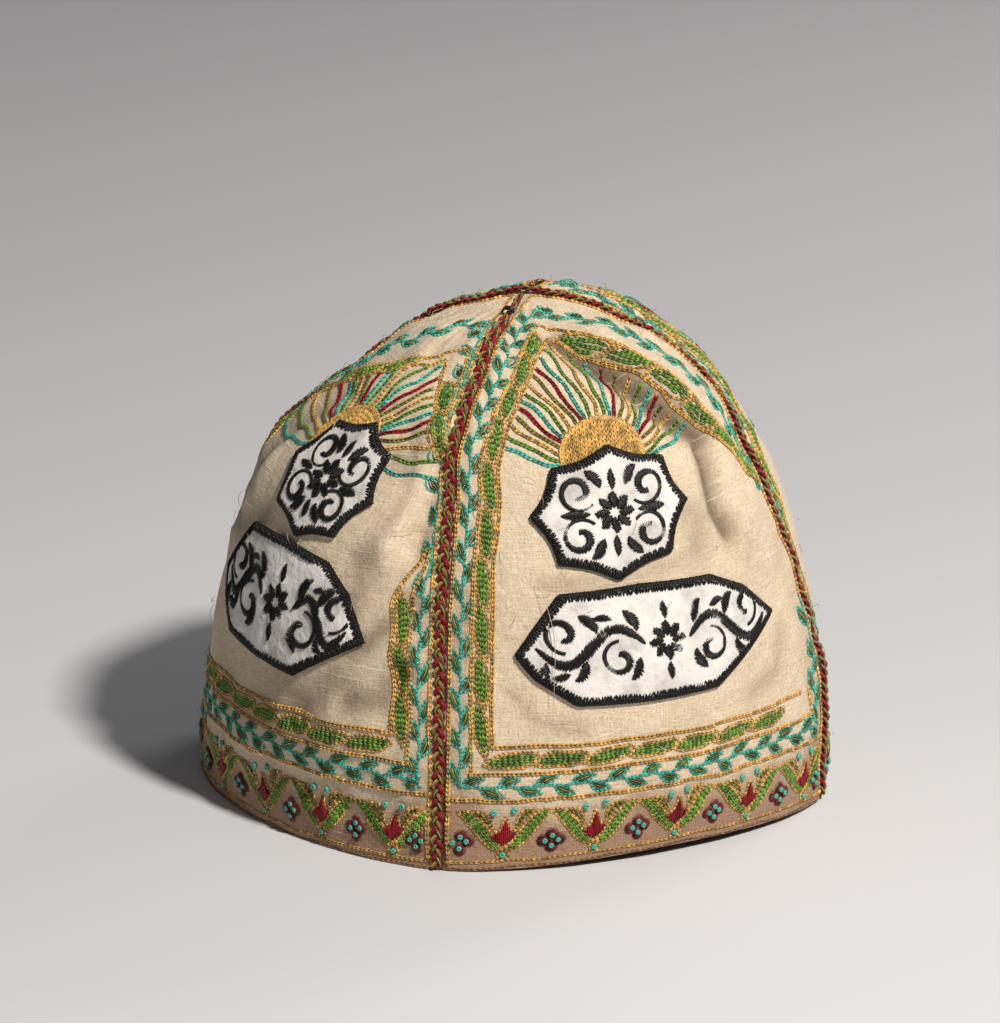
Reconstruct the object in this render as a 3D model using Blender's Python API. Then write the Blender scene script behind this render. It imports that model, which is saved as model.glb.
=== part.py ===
"""Four-gore embroidered skullcap: cloth gores, felt patches and braided seam cords.

Metres, +Z up. The hem stands on z = 0, the front seam faces -Y and the right seam +X.
"""

from math import cos, pi, radians, sin

import bmesh
import bpy
import numpy as np

# Driving sizes
CLOTH = 0.0016
SEAM_GAP = 0.0003
TIP_RADIUS = 0.0010
CENTRE_X = 0.0042
CENTRE_Y = 0.0
GROOVE_DEPTH = 0.0012
GROOVE_HALF = 0.0032
GROOVE_FADE = 0.009
FELT = 0.0012
FELT_SEAT = 0.0006
CORD_RADIUS = 0.0016
CORD_TIP_RADIUS = 0.0010
CORD_TAPER = 0.018
CORD_SEAT = 0.0004
CORD_FOOT = 0.0008
CORD_STEP = 0.0075
CORD_END = 0.0023

# The hem is lifted a little on the right of the front
LIFT = 0.0026
LIFT_AZIMUTH = 50.0
LIFT_HALF = 62.0
LIFT_FADE = 0.045

# Mesh steps
ROWS = 22
COLUMNS = 15
PATCH_RINGS = (0.36, 0.70, 1.0)

# One row for each height of the cap. The bulge pushes the middle of each gore outwards.
SECTIONS = (
    # height, seam_radius, left_seam_radius, bulge, front_seam_drift_deg, right_seam_drift_deg
    (0.0000, 0.0910, 0.0995, -0.0070, 0.0, 0.0),
    (0.0150, 0.0908, 0.0980, -0.0052, 0.0, 0.0),
    (0.0300, 0.0893, 0.0955, -0.0026, 0.0, 0.0),
    (0.0480, 0.0853, 0.0920, 0.0005, -0.6, 0.0),
    (0.0670, 0.0803, 0.0875, 0.0028, -1.5, -1.0),
    (0.0860, 0.0736, 0.0815, 0.0040, -2.3, -1.5),
    (0.1020, 0.0668, 0.0750, 0.0038, -2.8, -0.5),
    (0.1140, 0.0608, 0.0625, 0.0028, -4.2, 4.0),
    (0.1240, 0.0535, 0.0495, 0.0018, -3.6, 10.0),
    (0.1340, 0.0410, 0.0375, 0.0010, -2.6, 11.0),
    (0.1410, 0.0275, 0.0250, 0.0005, -3.0, 12.0),
    (0.1450, 0.0140, 0.0115, 0.0002, -3.0, 10.0),
    (0.1465, 0.0000, 0.0000, 0.0000, 0.0, 0.0),
)

# One row for each fold or puff of the cloth, along a line from its start to its end.
# Near and far are the widths of its two sides, and a height below zero is a dent.
FOLDS = (
    # start_azimuth, start_up, end_azimuth, end_up, near, far, height
    (52.0, 0.158, 70.0, 0.124, 0.0040, 0.0090, 0.0034),
    (44.0, 0.154, 60.0, 0.124, 0.0060, 0.0034, -0.0040),
    (90.0, 0.042, 90.0, 0.096, 0.0160, 0.0095, 0.0031),
    (68.5, 0.122, 68.0, 0.090, 0.0060, 0.0060, -0.0020),
    (76.0, 0.112, 78.0, 0.060, 0.0090, 0.0070, 0.0014),
    (18.0, 0.085, 62.0, 0.087, 0.0040, 0.0040, -0.0012),
    (-9.0, 0.119, -14.0, 0.088, 0.0180, 0.0045, 0.0034),
    (-4.5, 0.120, -7.5, 0.092, 0.0030, 0.0030, -0.0026),
    (-16.0, 0.063, -6.0, 0.074, 0.0045, 0.0045, -0.0026),
    (-27.0, 0.117, -16.0, 0.112, 0.0050, 0.0050, -0.0014),
    (-42.0, 0.050, -34.0, 0.046, 0.0040, 0.0040, -0.0014),
    (-12.0, 0.042, -9.0, 0.054, 0.0050, 0.0050, -0.0014),
    (-78.0, 0.060, -72.0, 0.110, 0.0080, 0.0080, -0.0012),
    (118.0, 0.120, 128.0, 0.084, 0.0080, 0.0080, -0.0018),
    (160.0, 0.060, 166.0, 0.104, 0.0090, 0.0060, 0.0018),
    (208.0, 0.112, 200.0, 0.070, 0.0070, 0.0090, -0.0016),
    (246.0, 0.050, 240.0, 0.096, 0.0100, 0.0080, 0.0014),
    (150.0, 0.150, 150.0, 0.170, 0.0170, 0.0170, 0.0032),
)

# One row for each gore: its name and the azimuth of its first seam
GORES = (
    ("front_right", 0.0),
    ("back_right", 90.0),
    ("back_left", 180.0),
    ("front_left", 270.0),
)

# One row for each felt patch, placed from the middle of its gore
PATCHES = (
    # form, gore, across, up, width, height, tilt_deg, lean
    ("medallion", "front_right", -0.0088, 0.1037, 0.0480, 0.0380, 1.5, 0.14),
    ("cartouche", "front_right", 0.0004, 0.0658, 0.0885, 0.0340, 0.0, 0.0),
    ("medallion", "front_left", 0.0150, 0.1075, 0.0390, 0.0360, -12.0, 0.0),
    ("cartouche", "front_left", 0.0103, 0.0695, 0.0680, 0.0370, -8.0, 0.0),
    ("medallion", "back_right", 0.0125, 0.1045, 0.0460, 0.0370, 4.0, 0.0),
    ("cartouche", "back_right", 0.0125, 0.0665, 0.0710, 0.0340, 1.0, 0.0),
    ("medallion", "back_left", -0.0030, 0.1040, 0.0475, 0.0375, -2.0, 0.05),
    ("cartouche", "back_left", 0.0015, 0.0660, 0.0850, 0.0340, -1.0, 0.0),
)
PATCH_MARGIN = 0.009

# Corners of the long patch, in half widths and half heights, anticlockwise from its
# right tip
CARTOUCHE = (
    # across, up
    (1.00, -0.05), (0.72, 0.56), (0.41, 0.93), (-0.12, 1.00),
    (-0.66, 0.90), (-0.85, 0.35), (-1.00, -0.12), (-0.90, -0.52),
    (-0.66, -0.98), (-0.14, -1.00), (0.36, -0.98), (0.74, -0.42),
)
MEDALLION_POINTS = 8
MEDALLION_HOLLOW = 0.06

COTTON = ((0.70, 0.58, 0.40), 0.92)
WHITE_FELT = ((0.78, 0.75, 0.71), 0.95)
BRAID = ((0.33, 0.07, 0.05), 0.55)


def smooth_table(x, y, at):
    """Smooth curve through the points of a table."""
    step = np.diff(x)
    rise = np.diff(y) / step
    slope = np.empty_like(y)
    slope[1:-1] = (rise[:-1] * step[1:] + rise[1:] * step[:-1]) / (step[:-1] + step[1:])
    slope[0], slope[-1] = rise[0], rise[-1]
    at = np.clip(at, x[0], x[-1])
    k = np.clip(np.searchsorted(x, at, side="right") - 1, 0, len(x) - 2)
    t = (at - x[k]) / step[k]
    low = (2 * t**3 - 3 * t**2 + 1) * y[k] + (t**3 - 2 * t**2 + t) * step[k] * slope[k]
    high = (3 * t**2 - 2 * t**3) * y[k + 1] + (t**3 - t**2) * step[k] * slope[k + 1]
    return low + high


HEIGHT, SEAM_RADIUS, LEFT_RADIUS, BULGE, DRIFT, RIGHT_DRIFT = np.array(SECTIONS).T
UP = np.concatenate([[0], np.cumsum(np.hypot(np.diff(HEIGHT), np.diff(SEAM_RADIUS)))])
CROWN = UP[-1]


def meridian(azimuth, up):
    """Radius and height of the cap without its folds."""
    left = np.clip(-np.sin(azimuth), 0, 1) ** 1.5
    seam = smooth_table(UP, SEAM_RADIUS, up) * (1 - left)
    seam = seam + smooth_table(UP, LEFT_RADIUS, up) * left
    middle = np.sin(2 * (azimuth % (pi / 2))) ** 1.3
    return seam + smooth_table(UP, BULGE, up) * middle, smooth_table(UP, HEIGHT, up)


def turn_between(azimuth, other):
    """Signed angle in degrees from other to azimuth."""
    return (azimuth - other + 180) % 360 - 180


def fold_relief(azimuth, up, radius):
    """How far the folds and puffs move the cloth outwards."""
    out = np.zeros_like(radius)
    for start_azimuth, start_up, end_azimuth, end_up, near, far, height in FOLDS:
        run_x = np.radians(end_azimuth - start_azimuth) * radius
        run_y = end_up - start_up
        from_x = np.radians(turn_between(azimuth, start_azimuth)) * radius
        from_y = up - start_up
        length = np.hypot(run_x, run_y)
        along = (from_x * run_x + from_y * run_y) / length
        side = (from_x * run_y - from_y * run_x) / length * (1 if run_y >= 0 else -1)
        width = np.where(side < 0, near, far)
        beyond = np.maximum(np.maximum(-along, along - length), 0)
        out += height * np.exp(-((side / width) ** 2) - (1.6 * beyond / (near + far)) ** 2)
    return out


def patch_calm(azimuth, up, radius):
    """1 on free cloth and 0 under a felt patch, which keeps the cloth smooth."""
    calm = np.ones_like(radius)
    for _, gore, across, patch_up, width, height, _, _ in PATCHES:
        middle = dict(GORES)[gore] + 45
        x = np.radians(turn_between(azimuth, middle)) * radius - across
        y = up - patch_up
        reach = np.hypot(x / (width / 2 + PATCH_MARGIN), y / (height / 2 + PATCH_MARGIN))
        t = np.clip((reach - 0.8) / 0.35, 0, 1)
        calm *= t * t * (3 - 2 * t)
    return calm


def seam_groove(azimuth, up, radius):
    """Depth of the groove that each seam pulls into the cloth."""
    from_seam = np.radians(np.abs((azimuth + 45) % 90 - 45)) * radius
    share = np.clip(1 - from_seam / GROOVE_HALF, 0, 1) ** 1.5
    return GROOVE_DEPTH * share * np.clip((CROWN - up) / GROOVE_FADE, 0, 1)


def surface(azimuth, up, out=0.0):
    """Point on the cap. Azimuth is in degrees from the front seam, up is the way
    along the cloth from the hem, and out is the distance outside the cloth."""
    azimuth, up = np.broadcast_arrays(np.asarray(azimuth, float), np.asarray(up, float))
    angle = np.radians(azimuth)
    radius, height = meridian(angle, up)
    nudge = 0.0005
    upper_radius, upper_height = meridian(angle, np.clip(up + nudge, 0, CROWN))
    lower_radius, lower_height = meridian(angle, np.clip(up - nudge, 0, CROWN))
    rise, inwards = upper_height - lower_height, lower_radius - upper_radius
    span = np.hypot(rise, inwards)
    hem = np.clip(up / 0.012, 0, 1)
    relief = fold_relief(azimuth, up, radius) * patch_calm(azimuth, up, radius) * hem
    push = relief - seam_groove(azimuth, up, radius) + out
    lean = np.clip(up / 0.004, 0, 1)
    radius = radius + push * (1 + (rise / span - 1) * lean)
    height = height + push * inwards / span * lean
    away = np.clip(turn_between(azimuth, LIFT_AZIMUTH) / LIFT_HALF, -1, 1)
    height = height + LIFT * np.cos(away * pi / 2) ** 2 * np.clip(1 - up / LIFT_FADE, 0, 1)
    drift = np.radians(smooth_table(UP, DRIFT, up)) * np.clip(np.cos(angle), 0, 1) ** 2
    right_drift = np.radians(smooth_table(UP, RIGHT_DRIFT, up))
    turned = angle + drift + right_drift * np.clip(np.sin(angle), 0, 1) ** 4
    x = radius * np.sin(turned) + CENTRE_X
    y = -radius * np.cos(turned) + CENTRE_Y
    return np.stack([x, y, height], -1)


def clear_scene():
    for obj in list(bpy.data.objects):
        bpy.data.objects.remove(obj)


def make_material(name, colour, roughness):
    material = bpy.data.materials.new(name)
    material.use_nodes = True
    shader = material.node_tree.nodes["Principled BSDF"]
    shader.inputs["Base Color"].default_value = (*colour, 1.0)
    shader.inputs["Roughness"].default_value = roughness
    shader.inputs["Metallic"].default_value = 0.0
    return material


def add_object(name, data, finish):
    obj = bpy.data.objects.new(name, data)
    bpy.context.scene.collection.objects.link(obj)
    colour, roughness = finish
    data.materials.append(make_material(name, colour, roughness))
    return obj


def mesh_from(bm, name):
    bmesh.ops.recalc_face_normals(bm, faces=bm.faces)
    mesh = bpy.data.meshes.new(name)
    bm.to_mesh(mesh)
    bm.free()
    mesh.shade_smooth()
    mesh.set_sharp_from_angle(angle=radians(50))
    return mesh


def gore_azimuths(first, up):
    """Azimuths of a gore's columns: its two edges, its groove sides and an even rest."""
    radius, _ = meridian(radians(first + 45), up)
    edge = SEAM_GAP / 2 / radius
    groove = min(GROOVE_HALF / radius, 0.18 * pi / 2)
    inner = np.linspace(groove, pi / 2 - groove, COLUMNS - 2)
    return first + np.degrees(np.concatenate([[edge], inner, [pi / 2 - edge]]))


def make_gore(name, first):
    """One cloth gore from hem to crown, a wall between an outer and an inner skin."""
    last_up = CROWN - TIP_RADIUS
    ups = np.linspace(0, last_up, ROWS + 1)
    bm = bmesh.new()
    skins = []
    for out in (0.0, -CLOTH):
        rows = [surface(gore_azimuths(first, up), up, out) for up in ups]
        skins.append([[bm.verts.new(point) for point in row] for row in rows])
    for skin in skins:
        for lower, upper in zip(skin, skin[1:]):
            for i in range(COLUMNS - 1):
                bm.faces.new((lower[i], lower[i + 1], upper[i + 1], upper[i]))
    rims = []
    for skin in skins:
        left, right = [row[0] for row in skin], [row[-1] for row in skin]
        rims.append(skin[0] + right[1:] + skin[-1][-2::-1] + left[-2:0:-1])
    outer, inner = rims
    for i in range(len(outer)):
        j = (i + 1) % len(outer)
        bm.faces.new((outer[i], outer[j], inner[j], inner[i]))
    return add_object("gore_" + name, mesh_from(bm, "gore_" + name), COTTON)


def medallion_outline():
    """Eight-pointed outline with slightly hollow sides, in half sizes."""
    side = 2 * pi / MEDALLION_POINTS
    points = []
    for i in range(3 * MEDALLION_POINTS):
        angle = i * side / 3
        within = (i % 3) / 3
        reach = cos(side / 2) / cos((within - 0.5) * side)
        reach *= 1 - MEDALLION_HOLLOW * sin(pi * within)
        points.append((reach * cos(angle), reach * sin(angle)))
    return points


def cartouche_outline():
    """Long outline of the lower patch, its corners and the middles between them."""
    points = []
    for start, end in zip(CARTOUCHE, CARTOUCHE[1:] + CARTOUCHE[:1]):
        points += [start, ((start[0] + end[0]) / 2, (start[1] + end[1]) / 2)]
    return points


def make_patch(form, gore, across, up, width, height, tilt, lean):
    """A felt patch that follows the cloth, a centre and rings of points on each side."""
    outline = np.array(medallion_outline() if form == "medallion" else cartouche_outline())
    y = outline[:, 1] * height / 2
    x = outline[:, 0] * width / 2 + lean * y
    turn = radians(tilt)
    turned = np.stack([x * cos(turn) - y * sin(turn), x * sin(turn) + y * cos(turn)], -1)
    middle = dict(GORES)[gore] + 45
    bm = bmesh.new()

    def on_cloth(points, out):
        ups = up + points[..., 1]
        radius, _ = meridian(radians(middle), ups)
        return surface(middle + np.degrees((across + points[..., 0]) / radius), ups, out)

    edges = []
    for out in (FELT_SEAT, FELT_SEAT + FELT):
        centre = bm.verts.new(on_cloth(np.zeros(2), out))
        rings = [[bm.verts.new(p) for p in on_cloth(turned * ring, out)] for ring in PATCH_RINGS]
        for i in range(len(outline)):
            j = (i + 1) % len(outline)
            bm.faces.new((centre, rings[0][i], rings[0][j]))
            for inner, outer in zip(rings, rings[1:]):
                bm.faces.new((inner[i], outer[i], outer[j], inner[j]))
        edges.append(rings[-1])
    low, high = edges
    for i in range(len(outline)):
        j = (i + 1) % len(outline)
        bm.faces.new((low[i], low[j], high[j], high[i]))
    name = form + "_" + gore
    return add_object(name, mesh_from(bm, name), WHITE_FELT)


def make_cord(name, points, radii):
    """A seam cord as a round tube with closed ends."""
    curve = bpy.data.curves.new(name, "CURVE")
    curve.dimensions = "3D"
    curve.bevel_depth = CORD_RADIUS
    curve.bevel_resolution = 2
    curve.use_fill_caps = True
    spline = curve.splines.new("POLY")
    spline.points.add(len(points) - 1)
    for point, place, radius in zip(spline.points, points, radii):
        point.co = (*place, 1.0)
        point.radius = radius / CORD_RADIUS
    spline.use_smooth = True
    return add_object(name, curve, BRAID)


def seam_route(azimuth, first, last):
    """Points of a cord that lies in the seam's groove, from up first to up last."""
    count = max(2, round(abs(last - first) / CORD_STEP) + 1)
    return surface(azimuth, np.linspace(first, last, count), CORD_SEAT + CORD_RADIUS)


def make_cords():
    """One cord runs over the crown from the left hem to the right hem, and a front
    and a back cord end against it."""
    left = seam_route(-90.0, CORD_FOOT, CROWN)
    right = seam_route(90.0, CROWN, CORD_FOOT)
    over = np.concatenate([left, right[1:]])
    make_cord("seam_cord_across", over, np.full(len(over), CORD_RADIUS))
    for name, azimuth in (("seam_cord_front", 0.0), ("seam_cord_back", 180.0)):
        points = seam_route(azimuth, CORD_FOOT, CROWN - CORD_END)
        to_end = np.linspace(CROWN - CORD_FOOT, CORD_END, len(points)) - CORD_END
        share = np.clip(to_end / CORD_TAPER, 0, 1)
        make_cord(name, points, CORD_TIP_RADIUS + (CORD_RADIUS - CORD_TIP_RADIUS) * share)


def main():
    clear_scene()
    for name, first in GORES:
        make_gore(name, first)
    for row in PATCHES:
        make_patch(*row)
    make_cords()


main()
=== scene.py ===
"""Looks of the embroidered skullcap: cloth, felt patches, stitches, braids and a studio.

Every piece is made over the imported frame, in metres, +Z up. Places on the cloth are
given for each gore as the way across from its middle and the way up from the hem.
"""

from math import cos, pi, radians, sin

import bpy
import numpy as np
from bpy.props import FloatProperty, FloatVectorProperty, IntProperty, PointerProperty
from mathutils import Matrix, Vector


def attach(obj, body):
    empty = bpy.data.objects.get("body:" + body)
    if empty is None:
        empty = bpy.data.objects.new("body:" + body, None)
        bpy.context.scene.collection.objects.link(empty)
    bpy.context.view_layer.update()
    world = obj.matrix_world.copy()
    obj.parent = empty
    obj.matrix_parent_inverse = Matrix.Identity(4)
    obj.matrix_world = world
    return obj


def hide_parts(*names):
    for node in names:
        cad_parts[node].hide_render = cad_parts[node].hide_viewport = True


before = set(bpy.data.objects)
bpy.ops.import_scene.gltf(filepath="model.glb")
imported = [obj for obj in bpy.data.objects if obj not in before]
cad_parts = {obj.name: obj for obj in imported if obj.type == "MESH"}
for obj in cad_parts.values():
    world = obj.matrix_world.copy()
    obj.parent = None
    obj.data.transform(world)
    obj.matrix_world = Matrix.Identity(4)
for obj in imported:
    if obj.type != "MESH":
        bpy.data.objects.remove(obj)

bl_info = {
    "name": "Embroidered Skullcap",
    "version": (1, 0, 0),
    "blender": (4, 5, 0),
    "location": "3D View > Sidebar > Skullcap",
    "description": "Makes a four-gore skullcap with chain-stitch embroidery and braided seams",
    "category": "Object",
}

MM = 0.001
FULL_TURN = 2 * pi

# The form of the cap, as its solids have it
SECTIONS = (
    # height, seam_radius, left_seam_radius, bulge, front_seam_drift_deg, right_seam_drift_deg
    (0.0000, 0.0910, 0.0995, -0.0070, 0.0, 0.0),
    (0.0150, 0.0908, 0.0980, -0.0052, 0.0, 0.0),
    (0.0300, 0.0893, 0.0955, -0.0026, 0.0, 0.0),
    (0.0480, 0.0853, 0.0920, 0.0005, -0.6, 0.0),
    (0.0670, 0.0803, 0.0875, 0.0028, -1.5, -1.0),
    (0.0860, 0.0736, 0.0815, 0.0040, -2.3, -1.5),
    (0.1020, 0.0668, 0.0750, 0.0038, -2.8, -0.5),
    (0.1140, 0.0608, 0.0625, 0.0028, -4.2, 4.0),
    (0.1240, 0.0535, 0.0495, 0.0018, -3.6, 10.0),
    (0.1340, 0.0410, 0.0375, 0.0010, -2.6, 11.0),
    (0.1410, 0.0275, 0.0250, 0.0005, -3.0, 12.0),
    (0.1450, 0.0140, 0.0115, 0.0002, -3.0, 10.0),
    (0.1465, 0.0000, 0.0000, 0.0000, 0.0, 0.0),
)
FOLDS = (
    # start_azimuth, start_up, end_azimuth, end_up, near, far, height
    (52.0, 0.158, 70.0, 0.124, 0.0040, 0.0090, 0.0034),
    (44.0, 0.154, 60.0, 0.124, 0.0060, 0.0034, -0.0040),
    (90.0, 0.042, 90.0, 0.096, 0.0160, 0.0095, 0.0031),
    (68.5, 0.122, 68.0, 0.090, 0.0060, 0.0060, -0.0020),
    (76.0, 0.112, 78.0, 0.060, 0.0090, 0.0070, 0.0014),
    (18.0, 0.085, 62.0, 0.087, 0.0040, 0.0040, -0.0012),
    (-9.0, 0.119, -14.0, 0.088, 0.0180, 0.0045, 0.0034),
    (-4.5, 0.120, -7.5, 0.092, 0.0030, 0.0030, -0.0026),
    (-16.0, 0.063, -6.0, 0.074, 0.0045, 0.0045, -0.0026),
    (-27.0, 0.117, -16.0, 0.112, 0.0050, 0.0050, -0.0014),
    (-42.0, 0.050, -34.0, 0.046, 0.0040, 0.0040, -0.0014),
    (-12.0, 0.042, -9.0, 0.054, 0.0050, 0.0050, -0.0014),
    (-78.0, 0.060, -72.0, 0.110, 0.0080, 0.0080, -0.0012),
    (118.0, 0.120, 128.0, 0.084, 0.0080, 0.0080, -0.0018),
    (160.0, 0.060, 166.0, 0.104, 0.0090, 0.0060, 0.0018),
    (208.0, 0.112, 200.0, 0.070, 0.0070, 0.0090, -0.0016),
    (246.0, 0.050, 240.0, 0.096, 0.0100, 0.0080, 0.0014),
    (150.0, 0.150, 150.0, 0.170, 0.0170, 0.0170, 0.0032),
)
# Creases finer than the solids' folds, darkened with painted shade and some dirt
CREASES = (
    # points of azimuth and up, half_width, depth, shade_and_dirt
    (((35.0, 0.160), (41.2, 0.156), (46.4, 0.151), (49.9, 0.146), (52.9, 0.141),
      (55.7, 0.136), (58.0, 0.131), (61.4, 0.126), (67.5, 0.119)), 0.0030, 0.0008, 1.0),
    (((66.5, 0.116), (66.5, 0.108), (66.0, 0.099), (68.5, 0.092)), 0.0030, 0.0020, 0.90),
    (((-7.5, 0.120), (-12.0, 0.116), (-15.0, 0.117)), 0.0030, 0.0010, 0.45),
    (((-19.5, 0.088), (-18.0, 0.080), (-20.0, 0.072)), 0.0030, 0.0014, 0.50),
    (((-19.0, 0.060), (-15.0, 0.064), (-8.0, 0.074)), 0.0028, 0.0018, 0.65),
    (((-19.0, 0.045), (-13.0, 0.047), (-9.0, 0.056)), 0.0036, 0.0016, 0.65),
    (((-55.0, 0.128), (-64.0, 0.112), (-68.0, 0.096)), 0.0042, 0.0013, 0.50),
    (((-50.0, 0.092), (-60.0, 0.084), (-70.0, 0.086)), 0.0030, 0.0013, 0.45),
    (((-60.0, 0.038), (-46.0, 0.036), (-34.0, 0.041)), 0.0075, 0.0012, 0.42),
    (((-30.0, 0.040), (-22.0, 0.052)), 0.0050, 0.0016, 0.50),
    (((52.0, 0.104), (60.0, 0.098), (57.0, 0.090)), 0.0050, 0.0010, 0.40),
    (((22.0, 0.084), (40.0, 0.0855), (58.0, 0.089)), 0.0024, 0.0009, 0.35),
    (((78.0, 0.058), (74.0, 0.046), (66.0, 0.043)), 0.0030, 0.0010, 0.30),
    (((14.0, 0.052), (18.0, 0.043), (27.0, 0.041)), 0.0026, 0.0008, 0.25),
    (((128.0, 0.126), (122.0, 0.108), (126.0, 0.090)), 0.0032, 0.0012, 0.50),
    (((205.0, 0.124), (212.0, 0.106), (208.0, 0.092)), 0.0032, 0.0012, 0.50),
)
GORES = {
    # name: first_azimuth, border_rise
    "front_right": (0.0, 0.0000),
    "back_right": (90.0, 0.0004),
    "back_left": (180.0, -0.0003),
    "front_left": (270.0, 0.0014),
}

# How the border widens towards the crown, beside each gore's first and second seam
SPREADS = {
    # gore: (widening, start_up, run) beside the first seam, then beside the second
    "front_right": ((0.20, 0.100, 0.065), (1.20, 0.107, 0.026)),
    "back_right": ((0.35, 0.100, 0.065), (0.30, 0.100, 0.065)),
    "back_left": ((0.30, 0.100, 0.065), (0.35, 0.100, 0.065)),
    "front_left": ((2.40, 0.115, 0.045), (-0.30, 0.095, 0.020)),
}
PATCHES = (
    # form, gore, across, up, width, height, tilt_deg, lean
    ("medallion", "front_right", -0.0088, 0.1037, 0.0480, 0.0380, 1.5, 0.14),
    ("cartouche", "front_right", 0.0004, 0.0658, 0.0885, 0.0340, 0.0, 0.0),
    ("medallion", "front_left", 0.0150, 0.1075, 0.0390, 0.0360, -12.0, 0.0),
    ("cartouche", "front_left", 0.0103, 0.0695, 0.0680, 0.0370, -8.0, 0.0),
    ("medallion", "back_right", 0.0125, 0.1045, 0.0460, 0.0370, 4.0, 0.0),
    ("cartouche", "back_right", 0.0125, 0.0665, 0.0710, 0.0340, 1.0, 0.0),
    ("medallion", "back_left", -0.0030, 0.1040, 0.0475, 0.0375, -2.0, 0.05),
    ("cartouche", "back_left", 0.0015, 0.0660, 0.0850, 0.0340, -1.0, 0.0),
)
CARTOUCHE = (
    # across, up
    (1.00, -0.05), (0.72, 0.56), (0.41, 0.93), (-0.12, 1.00),
    (-0.66, 0.90), (-0.85, 0.35), (-1.00, -0.12), (-0.90, -0.52),
    (-0.66, -0.98), (-0.14, -1.00), (0.36, -0.98), (0.74, -0.42),
)
CENTRE_X = 0.0042
SEAM_GAP = 0.0003
GROOVE_DEPTH = 0.0012
GROOVE_HALF = 0.0032
GROOVE_FADE = 0.009
PATCH_MARGIN = 0.009
FELT_SEAT = 0.0003
LIFT, LIFT_AZIMUTH, LIFT_HALF, LIFT_FADE = 0.0026, 50.0, 62.0, 0.045
MEDALLION_POINTS, MEDALLION_HOLLOW = 8, 0.06

# Lines of the border, by their distance from the seam and their height over the hem
OUTER_LINE = (0.0029, 0.0210)
VINE_LINE = (0.0063, 0.0253)
MIDDLE_LINE = (0.0095, 0.0293)
BLOCK_LINE = (0.0124, 0.0333)
INNER_LINE = (0.0156, 0.0373)
HEM_LINE = 0.0026

# Stretches beside a gore's second seam where the field folds over the border. The lines
# draw in to the seam there, and those farther out than the shown distance are covered
TUCKS = {
    # gore: low, high, run_in, run_out, squeeze
    "front_left": (0.0940, 0.1160, 0.0200, 0.0300, 0.75),
    "front_right": (0.0480, 0.0960, 0.0110, 0.0220, 0.78),
}
COVERS = (
    # gore, low, high, shown_distance
    ("front_left", 0.0920, 0.1180, 0.0070),
    ("front_right", 0.0370, 0.0990, 0.0080),
    ("front_right", 0.0645, 0.0970, 0.0035),
)

SUNS = {
    # gore: across, up, radius, fan, sweep
    "front_right": (-0.0080, 0.1192, 0.0122, 0.76, 0.30),
    "back_right": (0.0120, 0.1200, 0.0118, 0.85, 0.20),
    "back_left": (-0.0030, 0.1198, 0.0120, 0.85, 0.20),
    "front_left": (0.0100, 0.1165, 0.0122, 1.00, 0.10),
}
RAY_THREADS = ("teal", "green", "gold", "olive", "red")
RAYS = 25

# Middle of the first tulip and the way to the next one
TULIPS = {
    "front_right": (-0.0505, 0.0265),
    "back_right": (-0.0530, 0.0265),
    "back_left": (-0.0535, 0.0268),
    "front_left": (-0.0490, 0.0270),
}
TULIP_OUTLINE = (
    # across, up, from the middle of the unit and the hem
    (-0.0008, 0.0066), (0.0022, 0.0086), (0.0048, 0.0116), (0.0018, 0.0120),
    (0.0003, 0.0164), (-0.0014, 0.0118), (-0.0050, 0.0106), (-0.0034, 0.0082),
)

# The yarns of the seam braids' three strands
YARNS = {
    # colour: strand, place across the strand, lift
    "red": ((0, -1, 0.0), (0, 0, 1.0), (0, 1, 0.0), (2, 1, 0.0)),
    "maroon": ((1, -1, 0.0), (2, -1, 0.0)),
    "olive": ((1, 0, 1.0),),
    "gold": ((1, 1, 0.0),),
    "green": ((2, 0, 1.0),),
}

# The border's vine and blocks, the rays, the tulip band, the knots and the leaf scroll
LINE_STEP, GUIDE_STEP, SUN_STEP, KNOT_STEP = 0.0007, 0.0006, 0.0006, 0.0004
VINE_PITCH, SHORTEST_LEAF = 0.0104, 0.0035
BLOCK_START, BLOCK_PITCH, BLOCK_GAP = 0.0035, 0.0142, 0.0034
BLOCK_ROW, BLOCK_TRIM, BLOCK_SLANT = 0.0011, 0.0013, 0.0016
BLOCK_OUTLINE = (
    # end (0 low, 1 high), way along from it, beside
    (0, -0.0026, -0.0012), (0, -0.0008, -0.0021), (1, -0.0030, -0.0021), (1, 0.0002, -0.0008),
    (1, 0.0026, 0.0012), (1, 0.0008, 0.0021), (0, 0.0030, 0.0021), (0, -0.0002, 0.0008),
    (0, -0.0026, -0.0012),
)
SUN_FIRST, SUN_LAST, SUN_ROW, SUN_INSET, SUN_COVERED = -30, 210, 0.00112, 0.0003, -0.0008
RAY_FIRST, RAY_FAN, RAY_REACH, RAY_MARGIN, RAY_RUN = 188, 196, 0.06, 0.0013, 0.035
RAY_SWAY, RAY_WAVE, RAY_PHASE, SHORTEST_RAY = 0.00045, 0.015, 1.3, 5
TULIP_COUNT, BAND_MARGIN, FLOWER_ROW, SPRIG_WIDTH = 5, 0.0036, 0.00052, 0.0028
LEAF_LOW, LEAF_RISE, LEAF_SHARE, LEAF_END, LEAF_ROW = 0.0064, 0.0106, 0.485, 0.0008, 0.0008
PETAL_WIDE, PETAL_HIGH, PETAL_ROW, BERRY_ROOM, BERRY_KNOTS = 0.0021, 0.0020, 0.00050, 0.0030, 0.82
SPRIGS = (
    # base, tip, curl
    ((-0.0034, 0.0128), (-0.0088, 0.0172), -0.0011),
    ((0.0034, 0.0130), (0.0084, 0.0180), 0.0012),
)
BEADS, DOT, DOT_RING = ((-0.0030, 0.0178), (0.0026, 0.0183)), (-0.0004, 0.0044), 0.0016
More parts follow.
